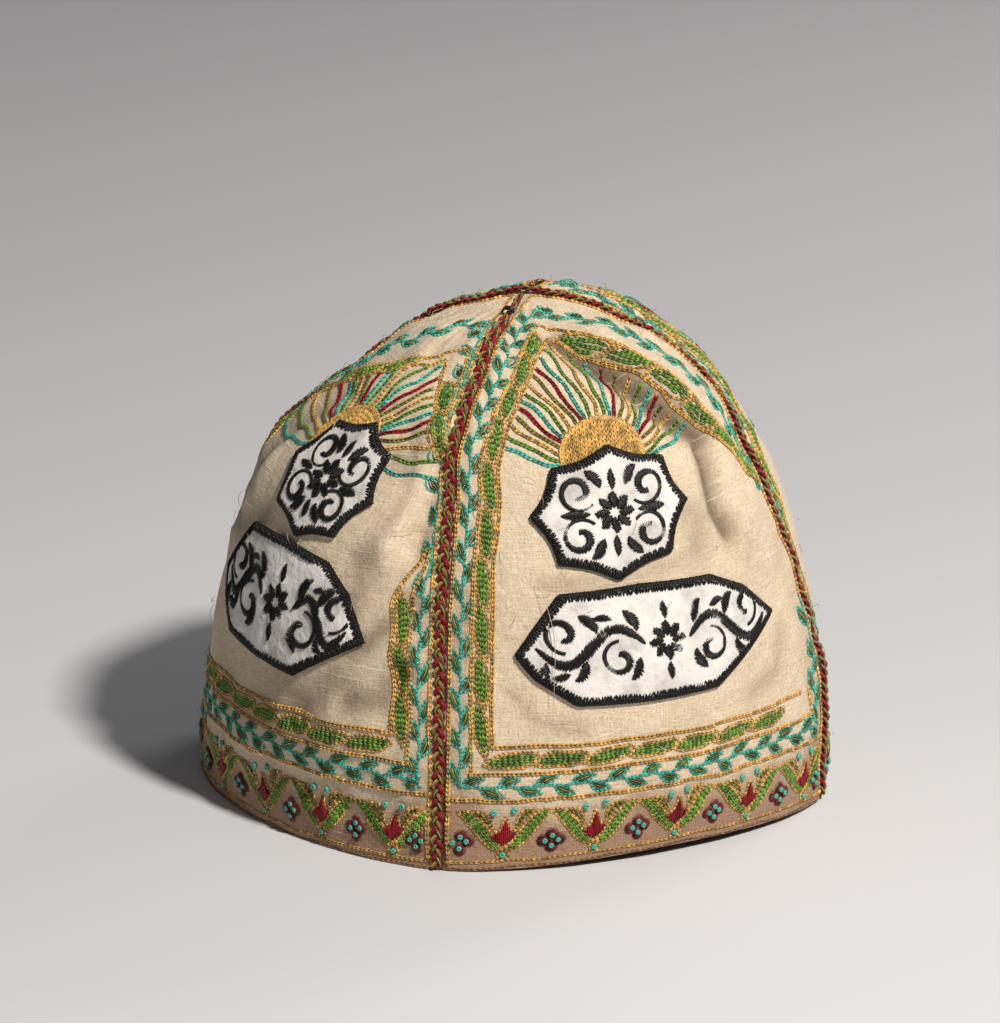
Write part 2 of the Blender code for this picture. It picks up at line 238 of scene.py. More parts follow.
BERRY, BERRY_HEIGHT = ((0.0002, 0.0021), (-0.0023, 0.0), (0.0023, 0.0004), (0.0, -0.0020)), 0.0083
ROSETTE, BOLD, SLIM = 0.0012, 2.20, 1.60
SCROLL_LEAVES = (
    # share of the way out, side, bend
    (0.06, 1, -0.9), (0.06, -1, 0.9), (0.44, 1, -1.2), (0.56, -1, 1.2), (0.93, -1, 1.0),
    (0.97, 1, -1.0),
)

# The felt's dome and quilting, and the mesh of the cloth
PATCH_RIMS, SCROLL_ROOM, SCROLL_LIFT = (-0.0003, -0.0007, -0.0016), -0.0030, 0.0001
PATCH_RINGS = (
    # share of the way out, share of the felt's height
    (0.0, 1.0), (0.12, 1.0), (0.25, 1.0), (0.38, 1.0), (0.5, 1.0), (0.61, 1.0), (0.71, 1.0),
    (0.8, 0.98), (0.88, 0.95), (0.94, 0.88), (0.975, 0.74), (1.0, 0.45),
)
QUILT_STEP, QUILT_HEIGHT = 0.0046, 0.00040
CROWN_HOLE, SEAM_CROWDING = 0.001, 1.12

# Steps up the cloth of its puckers, finer puckers, slow waves and drawn lines, and how
# far lines sewn by eye stray
PUCKER_STEP, FINE_STEP, WAVE_STEP, DRAWN_STEP = 0.0085, 0.0046, 0.032, 0.019
BORDER_WIDE, BORDER_HIGH, PUCKER_FADE = 0.012, 0.032, 0.03
STRAY_ACROSS, STRAY_UP = 0.00038, 0.00042

# The raised lips of a crease and its painted shade and dirt, by the crease's depth and width
LIP_HEIGHT, LIP_WAY, SHADE_AND_DIRT_SPREAD = 0.35, 2.1, 1.25
# Colour of the painted shade, with some dirt, in the creases
CREASE_SHADE_AND_DIRT = (0.085, 0.048, 0.024)
DEEP_SILKS = ("red", "maroon", "black")
SILK_ROUGHNESS, BLACK_ROUGHNESS = 0.38, 0.36

# Loose fibres on each gore, their places up it, their lengths and their most bend
LINT_COUNT, LINT_UP, LINT_LENGTH, LINT_BEND = 70, (0.010, 0.180), (0.0025, 0.0075), 2.2

# The stitches of each part, whose seeds count from their gore's or patch's own. Widths
# and pitches of chains are shares of the settings'
CHAINS = {
    # part: height over the cloth, silk, seed, width, pitch, rings of a leg
    "border": (0.00020, "gold", 0, 1.0, 1.0, 2),
    "block_edge": (0.00022, "gold", 1, 0.75, 1.0, 2),
    "vine": (0.00018, "teal", 2, 0.62, 0.85, 2),
    "block": (0.00025, "green", 4, 1.05, 1.05, 2),
    "sun": (0.00035, "gold", 0, 1.08, 1.0, 3),
    "ray_gold": (0.00025, "gold", 1, 1.0, 1.0, 2),
    "ray_teal": (0.00025, "teal", 2, 1.0, 1.0, 2),
    "ray_green": (0.00025, "green", 2, 1.0, 1.0, 2),
    "ray_olive": (0.00025, "olive", 2, 1.0, 1.0, 2),
    "ray_red": (0.00025, "red", 2, 1.0, 1.0, 2),
    "tulip_edge": (0.00020, "gold", 0, 0.62, 0.9, 2),
    "tulip_leaf": (0.00025, "green", 1, 1.0, 1.05, 2),
    "tulip_sprig": (0.00025, "olive", 2, 1.2, 1.0, 2),
    "hem_line": (0.00010, "brown", 3, 0.58, 1.1, 2),
    "hem_edge": (0.00005, "brown", 4, 0.50, 1.3, 2),
    "patch_edge": (0.0, "black", 0, 1.15, 0.85, 2),
}
BARS = {
    # part: height as a share of the felt's, seed, pitch, length, width, turn, jitter
    "patch_edge": (0.86, 5, 0.00060, 0.0016, 0.00092, pi / 2, 0.3),
    "patch_rim": (1.0, 1, 0.00088, 0.0025, 0.00092, pi / 2, 0.50),
    "scroll": (1.0, 2, 0.00048, 0.0019, 0.00075, 1.15, 0.15),
}
EDGE_SHARE = 0.62
SATINS = {
    # part: height over the cloth, silk, seed, radius, step, crown, sides
    "leaf_shade": (0.00005, "pine", 3, 0.00042, 0.0016, 0.0003, 3),
    "leaf_vein": (0.00005, "olive", 3, 0.00042, 0.0016, 0.0003, 3),
    "tulip": (0.00015, "red", 1, 0.00030, 0.0014, 0.0004, 4),
    "berry": (0.00010, "maroon", 1, 0.00028, 0.0012, 0.0004, 4),
    "lint": (0.0004, "linen", 7, 0.00008, 0.0008, 0.0016, 3),
    "loose_thread": (0.0024, "linen", 1, 0.00012, 0.0008, 0.0006, 4),
    "wrap": (0.0, "black", 1, 0.00042, 0.0005, 0.0, 4),
}
KNOTS = {
    # part: height over the cloth, diameter, height
    "bead": (0.00065, 0.0019, 0.0022),
    "berry": (0.00065, 0.0016, 0.0019),
    "dot": (0.00035, 0.0018, 0.0020),
}

LIGHTS = (
    # name, place, size, power, colour
    ("key_light", (0.98, -0.80, 1.38), 0.22, 42.0, (1.0, 0.96, 0.90)),
    ("fill_light", (-1.3, -1.0, 0.7), 1.2, 0.6, (0.90, 0.94, 1.0)),
    ("rim_light", (0.6, 1.3, 0.9), 0.6, 5.0, (1.0, 0.98, 0.95)),
)
FLOOR_REACH, FLOOR_COLOUR = 6.0, (0.64, 0.635, 0.655, 1.0)
SKY_COLOUR, SKY_STRENGTH = (0.93, 0.95, 1.0, 1.0), 0.095
CAP_MIDDLE = Vector((0.0, 0.0, 0.07))

# The picture, and how far the cap's middle sits right of and below its middle, in pixels
PICTURE_HIGH, PIXELS_PER_METRE = 1023, 3380.0
MIDDLE_RIGHT, MIDDLE_DOWN = 11.0, 35.0


class ClothSettings(bpy.types.PropertyGroup):
    thickness: FloatProperty(
        name="Cloth", description="Thickness of the doubled cotton", default=0.0016,
        min=0.0005, max=0.004, unit="LENGTH")
    columns: IntProperty(
        name="Columns", description="Mesh columns across a gore", default=72, min=20, max=200)
    rows: IntProperty(
        name="Rows", description="Mesh rows from hem to crown", default=100, min=20, max=250)
    pucker: FloatProperty(
        name="Pucker", description="Height of the small wrinkles", default=0.00046,
        min=0.0, max=0.002, unit="LENGTH")
    cream: FloatVectorProperty(
        name="Cream", description="Clean cotton", subtype="COLOR", default=(0.74, 0.615, 0.455))
    # Soiled cotton, which also gives the painted shade at the hem and along the borders
    stain_and_shade: FloatVectorProperty(
        name="Stain", description="Soiled cotton", subtype="COLOR", default=(0.36, 0.23, 0.15))
    felt: FloatProperty(
        name="Felt", description="Thickness of the felt patches", default=0.0013,
        min=0.0005, max=0.004, unit="LENGTH")


class ThreadSettings(bpy.types.PropertyGroup):
    pitch: FloatProperty(
        name="Stitch", description="Way from one chain stitch to the next", default=0.00135,
        min=0.0005, max=0.005, unit="LENGTH")
    width: FloatProperty(
        name="Chain width", description="Width of a chain of stitches", default=0.0012,
        min=0.0003, max=0.004, unit="LENGTH")
    gold: FloatVectorProperty(
        name="Gold", description="Golden silk", subtype="COLOR", default=(0.54, 0.315, 0.075))
    teal: FloatVectorProperty(
        name="Teal", description="Turquoise silk", subtype="COLOR", default=(0.052, 0.39, 0.30))
    green: FloatVectorProperty(
        name="Green", description="Leaf green silk", subtype="COLOR", default=(0.120, 0.235, 0.020))
    olive: FloatVectorProperty(
        name="Olive", description="Olive silk", subtype="COLOR", default=(0.20, 0.16, 0.02))
    pine: FloatVectorProperty(
        name="Pine", description="Dark green silk", subtype="COLOR", default=(0.03, 0.10, 0.03))
    red: FloatVectorProperty(
        name="Crimson", description="Crimson silk", subtype="COLOR", default=(0.235, 0.006, 0.014))
    maroon: FloatVectorProperty(
        name="Maroon", description="Maroon silk", subtype="COLOR", default=(0.13, 0.008, 0.012))
    linen: FloatVectorProperty(
        name="Linen", description="Loose undyed thread", subtype="COLOR",
        default=(0.62, 0.50, 0.36))
    brown: FloatVectorProperty(
        name="Brown", description="Tarnished golden silk", subtype="COLOR",
        default=(0.26, 0.13, 0.05))
    black: FloatVectorProperty(
        name="Black", description="Black silk", subtype="COLOR", default=(0.008, 0.0075, 0.0075))


class BraidSettings(bpy.types.PropertyGroup):
    width: FloatProperty(
        name="Width", description="Width of the seam braid", default=0.0038,
        min=0.001, max=0.01, unit="LENGTH")
    lobe: FloatProperty(
        name="Lobe", description="Way along the braid from one lobe to the next", default=0.0027,
        min=0.0005, max=0.01, unit="LENGTH")


class StageSettings(bpy.types.PropertyGroup):
    azimuth: FloatProperty(
        name="Azimuth", description="Camera's way round from the front seam",
        default=radians(16.0), subtype="ANGLE")
    elevation: FloatProperty(
        name="Elevation", description="Camera's height angle", default=radians(16.3),
        subtype="ANGLE")
    distance: FloatProperty(
        name="Distance", description="Camera to the cap's middle", default=1.8, min=0.3,
        max=10, unit="LENGTH")


class Signal:
    """A number socket that can be used in an expression."""

    def __init__(self, nodes, socket):
        self.nodes, self.socket = nodes, socket

    def maths(self, operation, *values):
        return self.nodes.number("ShaderNodeMath", {"operation": operation},
                                 dict(enumerate(values)))

    def __add__(self, other):
        return self.maths("ADD", self, other)

    __radd__ = __add__

    def __rsub__(self, other):
        return self.maths("SUBTRACT", other, self)

    def __mul__(self, other):
        return self.maths("MULTIPLY", self, other)

    __rmul__ = __mul__

    def __truediv__(self, other):
        return self.maths("DIVIDE", self, other)

    def __pow__(self, other):
        return self.maths("POWER", self, other)

    def sine(self):
        return self.maths("SINE", self)

    def rises(self, low, high):
        """0 below low, 1 above high and smooth between them."""
        return self.nodes.number(
            "ShaderNodeMapRange", {"interpolation_type": "SMOOTHSTEP"},
            {"Value": self, "From Min": low, "From Max": high})


class Nodes:
    """Adds nodes to one tree: a node's settings are set first and then its sockets."""

    def __init__(self, tree):
        self.tree = tree
        tree.nodes.clear()

    def add(self, kind, settings=None, inputs=None):
        node = self.tree.nodes.new(kind)
        for name, value in (settings or {}).items():
            setattr(node, name, value)
        for name, value in (inputs or {}).items():
            socket = node.inputs[name]
            if isinstance(value, Signal):
                value = value.socket
            if isinstance(value, bpy.types.NodeSocket):
                self.tree.links.new(value, socket)
            else:
                socket.default_value = value
        return node

    def out(self, kind, settings=None, inputs=None, output=0):
        """One output of a new node."""
        return self.add(kind, settings, inputs).outputs[output]

    def number(self, kind, settings=None, inputs=None, output=0):
        return Signal(self, self.out(kind, settings, inputs, output))

    def attribute(self, name, output):
        """What a mesh carries, for a material."""
        return self.out("ShaderNodeAttribute", {"attribute_name": name}, {}, output)

    def carried(self, name, kind="FLOAT"):
        """What a guide carries, for a tree."""
        return self.out("GeometryNodeInputNamedAttribute", {"data_type": kind}, {"Name": name})

    def random(self, low, high, seed):
        return self.number("FunctionNodeRandomValue", {"data_type": "FLOAT"},
                           {2: low, 3: high, "Seed": seed}, 1)

    def vector(self, x=0.0, y=0.0, z=0.0):
        return self.out("ShaderNodeCombineXYZ", {}, {"X": x, "Y": y, "Z": z})

    def vectors(self, operation, first, second):
        return self.out("ShaderNodeVectorMath", {"operation": operation}, {0: first, 1: second})

    def scaled(self, vector, factor):
        return self.out("ShaderNodeVectorMath", {"operation": "SCALE"},
                        {0: vector, "Scale": factor})

    def blend(self, factor, first, second, how="MIX"):
        """Mixes two colours, each a socket or three numbers."""
        first, second = (c if isinstance(c, bpy.types.NodeSocket) else (*c, 1.0)
                         for c in (first, second))
        return self.out("ShaderNodeMix", {"data_type": "RGBA", "blend_type": how},
                        {0: factor, 6: first, 7: second}, 2)

    def noise(self, place, scale, detail=3.0, roughness=0.55, stretch=None):
        if stretch:
            place = self.vectors("MULTIPLY", place, stretch)
        return self.number("ShaderNodeTexNoise", {},
                           {"Vector": place, "Scale": scale, "Detail": detail,
                            "Roughness": roughness})


def smooth_table(x, y, at):
    """Smooth curve through the points of a table."""
    step = np.diff(x)
    rise = np.diff(y) / step
    slope = np.empty_like(y)
    slope[1:-1] = (rise[:-1] * step[1:] + rise[1:] * step[:-1]) / (step[:-1] + step[1:])
    slope[0], slope[-1] = rise[0], rise[-1]
    at = np.clip(at, x[0], x[-1])
    k = np.clip(np.searchsorted(x, at, side="right") - 1, 0, len(x) - 2)
    t = (at - x[k]) / step[k]
    low = (2 * t**3 - 3 * t**2 + 1) * y[k] + (t**3 - 2 * t**2 + t) * step[k] * slope[k]
    high = (3 * t**2 - 2 * t**3) * y[k + 1] + (t**3 - t**2) * step[k] * slope[k + 1]
    return low + high


HEIGHT, SEAM_RADIUS, LEFT_RADIUS, BULGE, DRIFT, RIGHT_DRIFT = np.array(SECTIONS).T
UP = np.concatenate([[0], np.cumsum(np.hypot(np.diff(HEIGHT), np.diff(SEAM_RADIUS)))])
CROWN = UP[-1]
LATTICE = np.random.default_rng(7).uniform(-1, 1, (64, 64))


def eased(t):
    t = np.clip(t, 0, 1)
    return t * t * (3 - 2 * t)


def ripple(x, y):
    """Smooth random height from -1 to 1 that changes over a step of 1, and repeats
    every 64 steps."""
    column, row = np.floor(x).astype(int), np.floor(y).astype(int)
    u, v = eased(x - column), eased(y - row)
    a, b = LATTICE[row % 64, column % 64], LATTICE[row % 64, (column + 1) % 64]
    c, d = LATTICE[(row + 1) % 64, column % 64], LATTICE[(row + 1) % 64, (column + 1) % 64]
    return (a * (1 - u) + b * u) * (1 - v) + (c * (1 - u) + d * u) * v


def meridian(azimuth, up):
    """Radius and height of the cap without its folds, azimuth in radians."""
    left = np.clip(-np.sin(azimuth), 0, 1) ** 1.5
    seam = smooth_table(UP, SEAM_RADIUS, up) * (1 - left)
    seam = seam + smooth_table(UP, LEFT_RADIUS, up) * left
    middle = np.sin(2 * (azimuth % (pi / 2))) ** 1.3
    return seam + smooth_table(UP, BULGE, up) * middle, smooth_table(UP, HEIGHT, up)


def turn_between(azimuth, other):
    return (azimuth - other + 180) % 360 - 180


def fold_relief(azimuth, up, radius):
    """How far the folds and puffs move the cloth outwards."""
    out = np.zeros_like(radius)
    for start_azimuth, start_up, end_azimuth, end_up, near, far, height in FOLDS:
        run_x = np.radians(end_azimuth - start_azimuth) * radius
        run_y = end_up - start_up
        from_x = np.radians(turn_between(azimuth, start_azimuth)) * radius
        from_y = up - start_up
        length = np.hypot(run_x, run_y)
        along = (from_x * run_x + from_y * run_y) / length
        side = (from_x * run_y - from_y * run_x) / length * (1 if run_y >= 0 else -1)
        width = np.where(side < 0, near, far)
        beyond = np.maximum(np.maximum(-along, along - length), 0)
        out += height * np.exp(-((side / width) ** 2) - (1.6 * beyond / (near + far)) ** 2)
    return out


def crease_depth(azimuth, up, radius):
    """How deep the creases are, and how much painted shade and dirt they hold from 0 to 1."""
    depth, shade_and_dirt = np.zeros_like(radius), np.zeros_like(radius)
    for points, half, deepest, shaded_and_soiled in CREASES:
        near = np.full_like(radius, 1.0)
        for (azimuth_a, up_a), (azimuth_b, up_b) in zip(points[:-1], points[1:]):
            from_x = np.radians(turn_between(azimuth, azimuth_a)) * radius
            run_x = np.radians(azimuth_b - azimuth_a) * radius
            from_y, run_y = up - up_a, up_b - up_a
            share = (from_x * run_x + from_y * run_y) / (run_x ** 2 + run_y ** 2)
            share = np.clip(share, 0, 1)
            near = np.minimum(near, np.hypot(from_x - share * run_x, from_y - share * run_y))
        shape = np.exp(-(near / half) ** 2)
        lips = LIP_HEIGHT * np.exp(-((near - LIP_WAY * half) / half) ** 2)
        depth += deepest * (shape - lips)
        shade_and_dirt = np.maximum(shade_and_dirt, shaded_and_soiled * np.exp(-(near / (SHADE_AND_DIRT_SPREAD * half)) ** 2))
    return depth, shade_and_dirt


def patch_calm(azimuth, up, radius):
    """1 on free cloth and 0 under a felt patch, which keeps the cloth smooth."""
    calm = np.ones_like(radius)
    for _, gore, across, patch_up, width, height, _, _ in PATCHES:
        x = np.radians(turn_between(azimuth, GORES[gore][0] + 45)) * radius - across
        y = up - patch_up
        reach = np.hypot(x / (width / 2 + PATCH_MARGIN), y / (height / 2 + PATCH_MARGIN))
        calm *= eased((reach - 0.8) / 0.35)
    return calm


def from_seam(azimuth, radius):
    return np.radians(np.abs((azimuth + 45) % 90 - 45)) * radius


def wrinkles(azimuth, up, radius):
    """Small puckers of the stitched borders and slow waves of the plain field."""
    pucker = bpy.context.scene.skullcap_cloth.pucker
    beyond = eased((from_seam(azimuth, radius) - BORDER_WIDE) / 0.010)
    border = 1 - beyond * eased((up - BORDER_HIGH) / 0.012)
    around = azimuth / 360 * len(LATTICE)
    small = ripple(around, up / PUCKER_STEP) + 0.6 * ripple(around * 2 + 7, up / FINE_STEP)
    slow = ripple(around * 0.25 + 31, up / WAVE_STEP)
    tilt = up / 0.021
    drawn = 1 - np.abs(ripple(around * 0.5 + 12 + tilt, up / DRAWN_STEP + 3)) ** 0.7
    fade = np.clip((CROWN - up) / PUCKER_FADE, 0, 1)
    return pucker * fade * (small * (0.62 + 0.9 * border) + (2.2 * slow + 1.5 * drawn)
                            * (1 - border))


def seam_groove(azimuth, up, radius):
    share = np.clip(1 - from_seam(azimuth, radius) / GROOVE_HALF, 0, 1) ** 1.5
    return GROOVE_DEPTH * share * np.clip((CROWN - up) / GROOVE_FADE, 0, 1)


def surface(azimuth, up, out=0.0):
    """Point on the cap. Azimuth is in degrees from the front seam, up is the way
    along the cloth from the hem, and out is the distance outside the cloth."""
    azimuth, up = np.broadcast_arrays(np.asarray(azimuth, float), np.asarray(up, float))
    angle = np.radians(azimuth)
    radius, height = meridian(angle, up)
    nudge = 0.0005
    upper_radius, upper_height = meridian(angle, np.clip(up + nudge, 0, CROWN))
    lower_radius, lower_height = meridian(angle, np.clip(up - nudge, 0, CROWN))
    rise, inwards = upper_height - lower_height, lower_radius - upper_radius
    span = np.maximum(np.hypot(rise, inwards), 1e-9)
    hem = np.clip(up / 0.012, 0, 1)
    relief = fold_relief(azimuth, up, radius) + wrinkles(azimuth, up, radius)
    relief = relief - crease_depth(azimuth, up, radius)[0]
    relief = relief * patch_calm(azimuth, up, radius) * hem
    push = relief - seam_groove(azimuth, up, radius) + out
    lean = np.clip(up / 0.004, 0, 1)
    radius = radius + push * (1 + (rise / span - 1) * lean)
    height = height + push * inwards / span * lean
    away = np.clip(turn_between(azimuth, LIFT_AZIMUTH) / LIFT_HALF, -1, 1)
    height = height + LIFT * np.cos(away * pi / 2) ** 2 * np.clip(1 - up / LIFT_FADE, 0, 1)
    drift = np.radians(smooth_table(UP, DRIFT, up)) * np.clip(np.cos(angle), 0, 1) ** 2
    right_drift = np.radians(smooth_table(UP, RIGHT_DRIFT, up))
    turned = angle + drift + right_drift * np.clip(np.sin(angle), 0, 1) ** 4
    return np.stack([radius * np.sin(turned) + CENTRE_X, -radius * np.cos(turned), height], -1)


def arc_table(gore):
    """Mean radius of a gore's cloth at even steps of the way up."""
    turn = GORES[gore][0] + np.linspace(0, 90, 91)
    ups = np.linspace(0, CROWN, 60)
    rows = surface(turn[None], ups[:, None])
    return ups, np.linalg.norm(np.diff(rows, axis=1), axis=2).sum(1) / (pi / 2)


ARCS = {}


def mean_radius(gore, up):
    if gore not in ARCS:
        ARCS[gore] = arc_table(gore)
    return np.interp(up, *ARCS[gore])


def half_width(gore, up):
    return mean_radius(gore, up) * pi / 4


def on_gore(gore, across, up, out=0.0):
    """Points on a gore's cloth and the directions that face out of it."""
    across, up = np.broadcast_arrays(np.asarray(across, float), np.asarray(up, float))
    azimuth = GORES[gore][0] + 45 + np.degrees(across / mean_radius(gore, up))
    azimuth = np.clip(azimuth, GORES[gore][0] + 0.02, GORES[gore][0] + 89.98)
    place = surface(azimuth, up, out)
    step = 0.0004
    turn = np.degrees(step / np.maximum(mean_radius(gore, up), step))
    beside = surface(azimuth + turn, up, out) - place
    above = surface(azimuth, np.minimum(up + step, CROWN), out) - surface(azimuth, up - step, out)
    facing = np.cross(beside, above)
    length = np.linalg.norm(facing, axis=-1, keepdims=True)
    return place, facing / np.maximum(length, 1e-12)


def resampled(points, step):
    """The same line with a point about every step."""
    points = np.asarray(points, float)
    way = np.concatenate([[0], np.cumsum(np.hypot(*np.diff(points[:, :2], axis=0).T))])
    count = max(2, int(round(way[-1] / step)) + 1)
    at = np.linspace(0, way[-1], count)
    return np.stack([np.interp(at, way, column) for column in points.T], -1)


class Route:
    """A line on a gore that other lines follow at a distance, measured along it."""

    def __init__(self, points):
        self.points = resampled(points, 0.0005)
        self.way = np.concatenate([[0], np.cumsum(np.hypot(*np.diff(self.points, axis=0).T))])
        self.length = self.way[-1]
        slope = np.gradient(self.points, axis=0)
        slope /= np.maximum(np.hypot(*slope.T), 1e-12)[:, None]
        self.side = np.stack([-slope[:, 1], slope[:, 0]], -1)

    def at(self, along, beside=0.0):
        """Points at a way along the line, beside it to the left."""
        along, beside = np.broadcast_arrays(np.asarray(along, float), np.asarray(beside, float))
        place = [np.interp(along, self.way, column) for column in self.points.T]
        side = [np.interp(along, self.way, column) for column in self.side.T]
        return np.stack([p + s * beside for p, s in zip(place, side)], -1)


def ellipse_leaf(base, tip, width, curl=0.0, count=9):
    """Two sides and the spine of a leaf from base to tip, bent by curl."""
    base, tip = np.asarray(base, float), np.asarray(tip, float)
    run = tip - base
    side = np.array([-run[1], run[0]]) / np.hypot(*run)
    t = np.linspace(0, 1, count)[:, None]
    spine = base + run * t + side * curl * np.sin(pi * t)
    swell = side * width / 2 * np.sin(pi * t) ** 0.75
    return spine + swell, spine - swell, spine


def inside(points, outline):
    """Which points lie in a closed outline."""
    x, y = points[:, 0][:, None], points[:, 1][:, None]
    x0, y0 = outline.T
    x1, y1 = np.roll(outline, -1, axis=0).T
    crosses = (y0 > y) != (y1 > y)
    with np.errstate(divide="ignore", invalid="ignore"):
        cut = x < (x1 - x0) * (y - y0) / (y1 - y0) + x0
    return (crosses & cut).sum(1) % 2 == 1


def hatch(outline, spacing, angle, inset=0.0):
    """Straight stitches that fill an outline, side by side."""
    outline = np.asarray(outline, float)
    c, s = cos(angle), sin(angle)
    turned = outline @ np.array([[c, -s], [s, c]])
    dense = resampled(np.vstack([turned, turned[:1]]), spacing / 6)
    rows = np.arange(turned[:, 1].min() + spacing / 2, turned[:, 1].max(), spacing)
    back = np.array([[c, s], [-s, c]])
    stitches = []
    for row in rows:
        above = dense[:, 1] > row
        cuts = np.sort(dense[:-1, 0][above[1:] != above[:-1]])
        for low, high in zip(cuts[::2], cuts[1::2]):
            if high - low > 2 * inset + spacing:
                line = np.array([[low + inset, row], [high - inset, row]])
                stitches.append(line @ back)
    return stitches


def oval(centre, wide, high, angles):
    return np.add(centre, np.stack([wide * np.cos(angles), high * np.sin(angles)], -1))


def rotated(x, y, angle):
    return x * cos(angle) - y * sin(angle), x * sin(angle) + y * cos(angle)


def patch_outline(row, count=96, grow=0.0):
    """Outline of a felt patch on its gore."""
    form, _, across, up, width, height, tilt, lean = row
    if form == "medallion":
        side = FULL_TURN / MEDALLION_POINTS
        angle = np.arange(count) * FULL_TURN / count
        within = (angle / side) % 1
        reach = cos(side / 2) / np.cos((within - 0.5) * side)
        reach = reach * (1 - MEDALLION_HOLLOW * np.sin(pi * within))
        unit = np.stack([reach * np.cos(angle), reach * np.sin(angle)], -1)
    else:
        corners = np.array(CARTOUCHE)
        unit = resampled(np.vstack([corners, corners[:1]]), 6.6 / count)[:-1]
    y = unit[:, 1] * (height / 2 + grow)
    x, y = rotated(unit[:, 0] * (width / 2 + grow) + lean * y, y, radians(tilt))
    return np.stack([across + x, up + y], -1)


def side_offset(gore, second, distance, up):
    """Distance of a border line from its seam, which grows towards the crown."""
    spread, start, run = SPREADS[gore][1 if second else 0]
    follows = eased((distance - OUTER_LINE[0]) / (MIDDLE_LINE[0] - OUTER_LINE[0]))
    offset = distance + spread * INNER_LINE[0] * follows * eased((up - start) / run)
    if second and gore in TUCKS:
        low, high, run_in, run_out, squeeze = TUCKS[gore]
        drawn_in = eased((up - low + run_in) / run_in) * (1 - eased((up - high) / run_out))
        offset = offset - squeeze * drawn_in * (offset - np.minimum(offset, OUTER_LINE[0]))
    return offset


def border_line(gore, line):
    """The left side, the right side and the bottom of one border line."""
    distance, height = line
    height = height + GORES[gore][1]
    ups = np.arange(height, CROWN - CROWN_HOLE, LINE_STEP)
    half = half_width(gore, ups)
    left = -half + side_offset(gore, False, distance, ups)
    right = half - side_offset(gore, True, distance, ups)
    open_ = left < right
    tip = len(ups) if open_.all() else int(np.argmin(open_))
    left_side = np.stack([left[:tip], ups[:tip]], -1)
    right_side = np.stack([right[:tip], ups[:tip]], -1)
    bottom = np.array([left_side[0], right_side[0]])
    return left_side, right_side, resampled(bottom, 0.002)


def hidden(gore, points, distance):
    """Which points of a border line lie under a fold of the field."""
    gone = np.zeros(len(points), bool)
    for name, low, high, shown in COVERS:
        if name == gore and distance > shown:
            up = points[:, 1]
            gone |= (points[:, 0] > 0) & (up > low) & (up < high)
    return gone


def split_at(points, gone):
    """The stretches of a line that are left when some of its points go."""
    runs, run = [], []
    for point, drop in zip(points, gone):
        if drop:
            if len(run) > 2:
                runs.append(np.array(run))
            run = []
        else:
            run.append(point)
    if len(run) > 2:
        runs.append(np.array(run))
    return runs


def link(obj):
    bpy.context.scene.collection.objects.link(obj)
    return obj


def mesh_object(name, points, faces, material=None):
    mesh = bpy.data.meshes.new(name)
    mesh.from_pydata([tuple(p) for p in points], [], faces)
    mesh.shade_smooth()
    if material:
        mesh.materials.append(material)
    return link(bpy.data.objects.new(name, mesh))


def add_attribute(mesh, name, kind, values):
    attribute = mesh.attributes.new(name, kind, "POINT")
    key = "vector" if kind == "FLOAT_VECTOR" else "value"
    attribute.data.foreach_set(key, np.asarray(values, np.float32).ravel())


def settle(obj, slot, *nodes):
    """Makes the piece ride on the cap's one body and hides the nodes it shows. The slot is not
    used.
    """
    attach(obj, "root")
    if nodes:
        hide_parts(*nodes)


def by_hand(gore, across, up):
    """The same places moved a little, as lines sewn by eye are."""
    x, y = across + GORES[gore][0] * MM, up
    sway = ripple(x / 0.011 + 3, y / 0.011) + 0.4 * ripple(x / 0.0045, y / 0.0045 + 9)
    lift = ripple(x / 0.010 + 21, y / 0.010 + 13) + 0.4 * ripple(x / 0.0042 + 5, y / 0.0042)
    return across + STRAY_ACROSS * sway, up + STRAY_UP * lift * eased(up / 0.004)


def guide_object(name, points, edges, facing, sizes):
    """A mesh of lines that carries its facing and the stitch sizes."""
    mesh = bpy.data.meshes.new(name)
    mesh.from_pydata([tuple(p) for p in points], edges, [])
    add_attribute(mesh, "facing", "FLOAT_VECTOR", facing)
    add_attribute(mesh, "size", "FLOAT", sizes)
    return link(bpy.data.objects.new(name, mesh))


def thread_guide(name, gore, routes, out, drawn):
    """The guide of threads that follow routes on one gore."""
    points, facings, sizes, edges, start = [], [], [], [], 0
    for route in routes:
        route = np.asarray(route, float)
        across, up = by_hand(gore, *route[:, :2].T) if drawn else route[:, :2].T
        place, facing = on_gore(gore, across, up, out)
        points.append(place)
        facings.append(facing)
        sizes.append(route[:, 2] if route.shape[1] > 2 else np.ones(len(route)))
        edges += [(start + i, start + i + 1) for i in range(len(route) - 1)]
        start += len(route)
    return guide_object(name, np.concatenate(points), edges, np.concatenate(facings),
                        np.concatenate(sizes))


def start_tree(name, sockets):
    """A node group that gets lines as a mesh, a material and the named numbers. Gives
    its nodes, its inputs and the lines as curves."""
    tree = bpy.data.node_groups.new(name, "GeometryNodeTree")
    nodes = Nodes(tree)
    kinds = {"Geometry": "Geometry", "Material": "Material"}
    kinds.update((label, "Int" if isinstance(default, int) else "Float")
                 for label, default in sockets.items())
    for label, kind in kinds.items():
        socket = tree.interface.new_socket(label, in_out="INPUT", socket_type="NodeSocket" + kind)
        if label in sockets:
            socket.default_value = sockets[label]
    tree.interface.new_socket("Geometry", in_out="OUTPUT", socket_type="NodeSocketGeometry")
    given = nodes.add("NodeGroupInput").outputs
    return nodes, given, nodes.out("GeometryNodeMeshToCurve", {}, {0: given["Geometry"]})


def end_tree(nodes, given, geometry):
    """Ends a tree in real geometry with its material."""
    real = nodes.out("GeometryNodeRealizeInstances", {}, {0: geometry})
    smooth = nodes.out("GeometryNodeSetShadeSmooth", {}, {0: real})
    painted = nodes.out("GeometryNodeSetMaterial", {},
                        {"Geometry": smooth, "Material": given["Material"]})
    nodes.add("NodeGroupOutput", {}, {0: painted})
    return nodes.tree


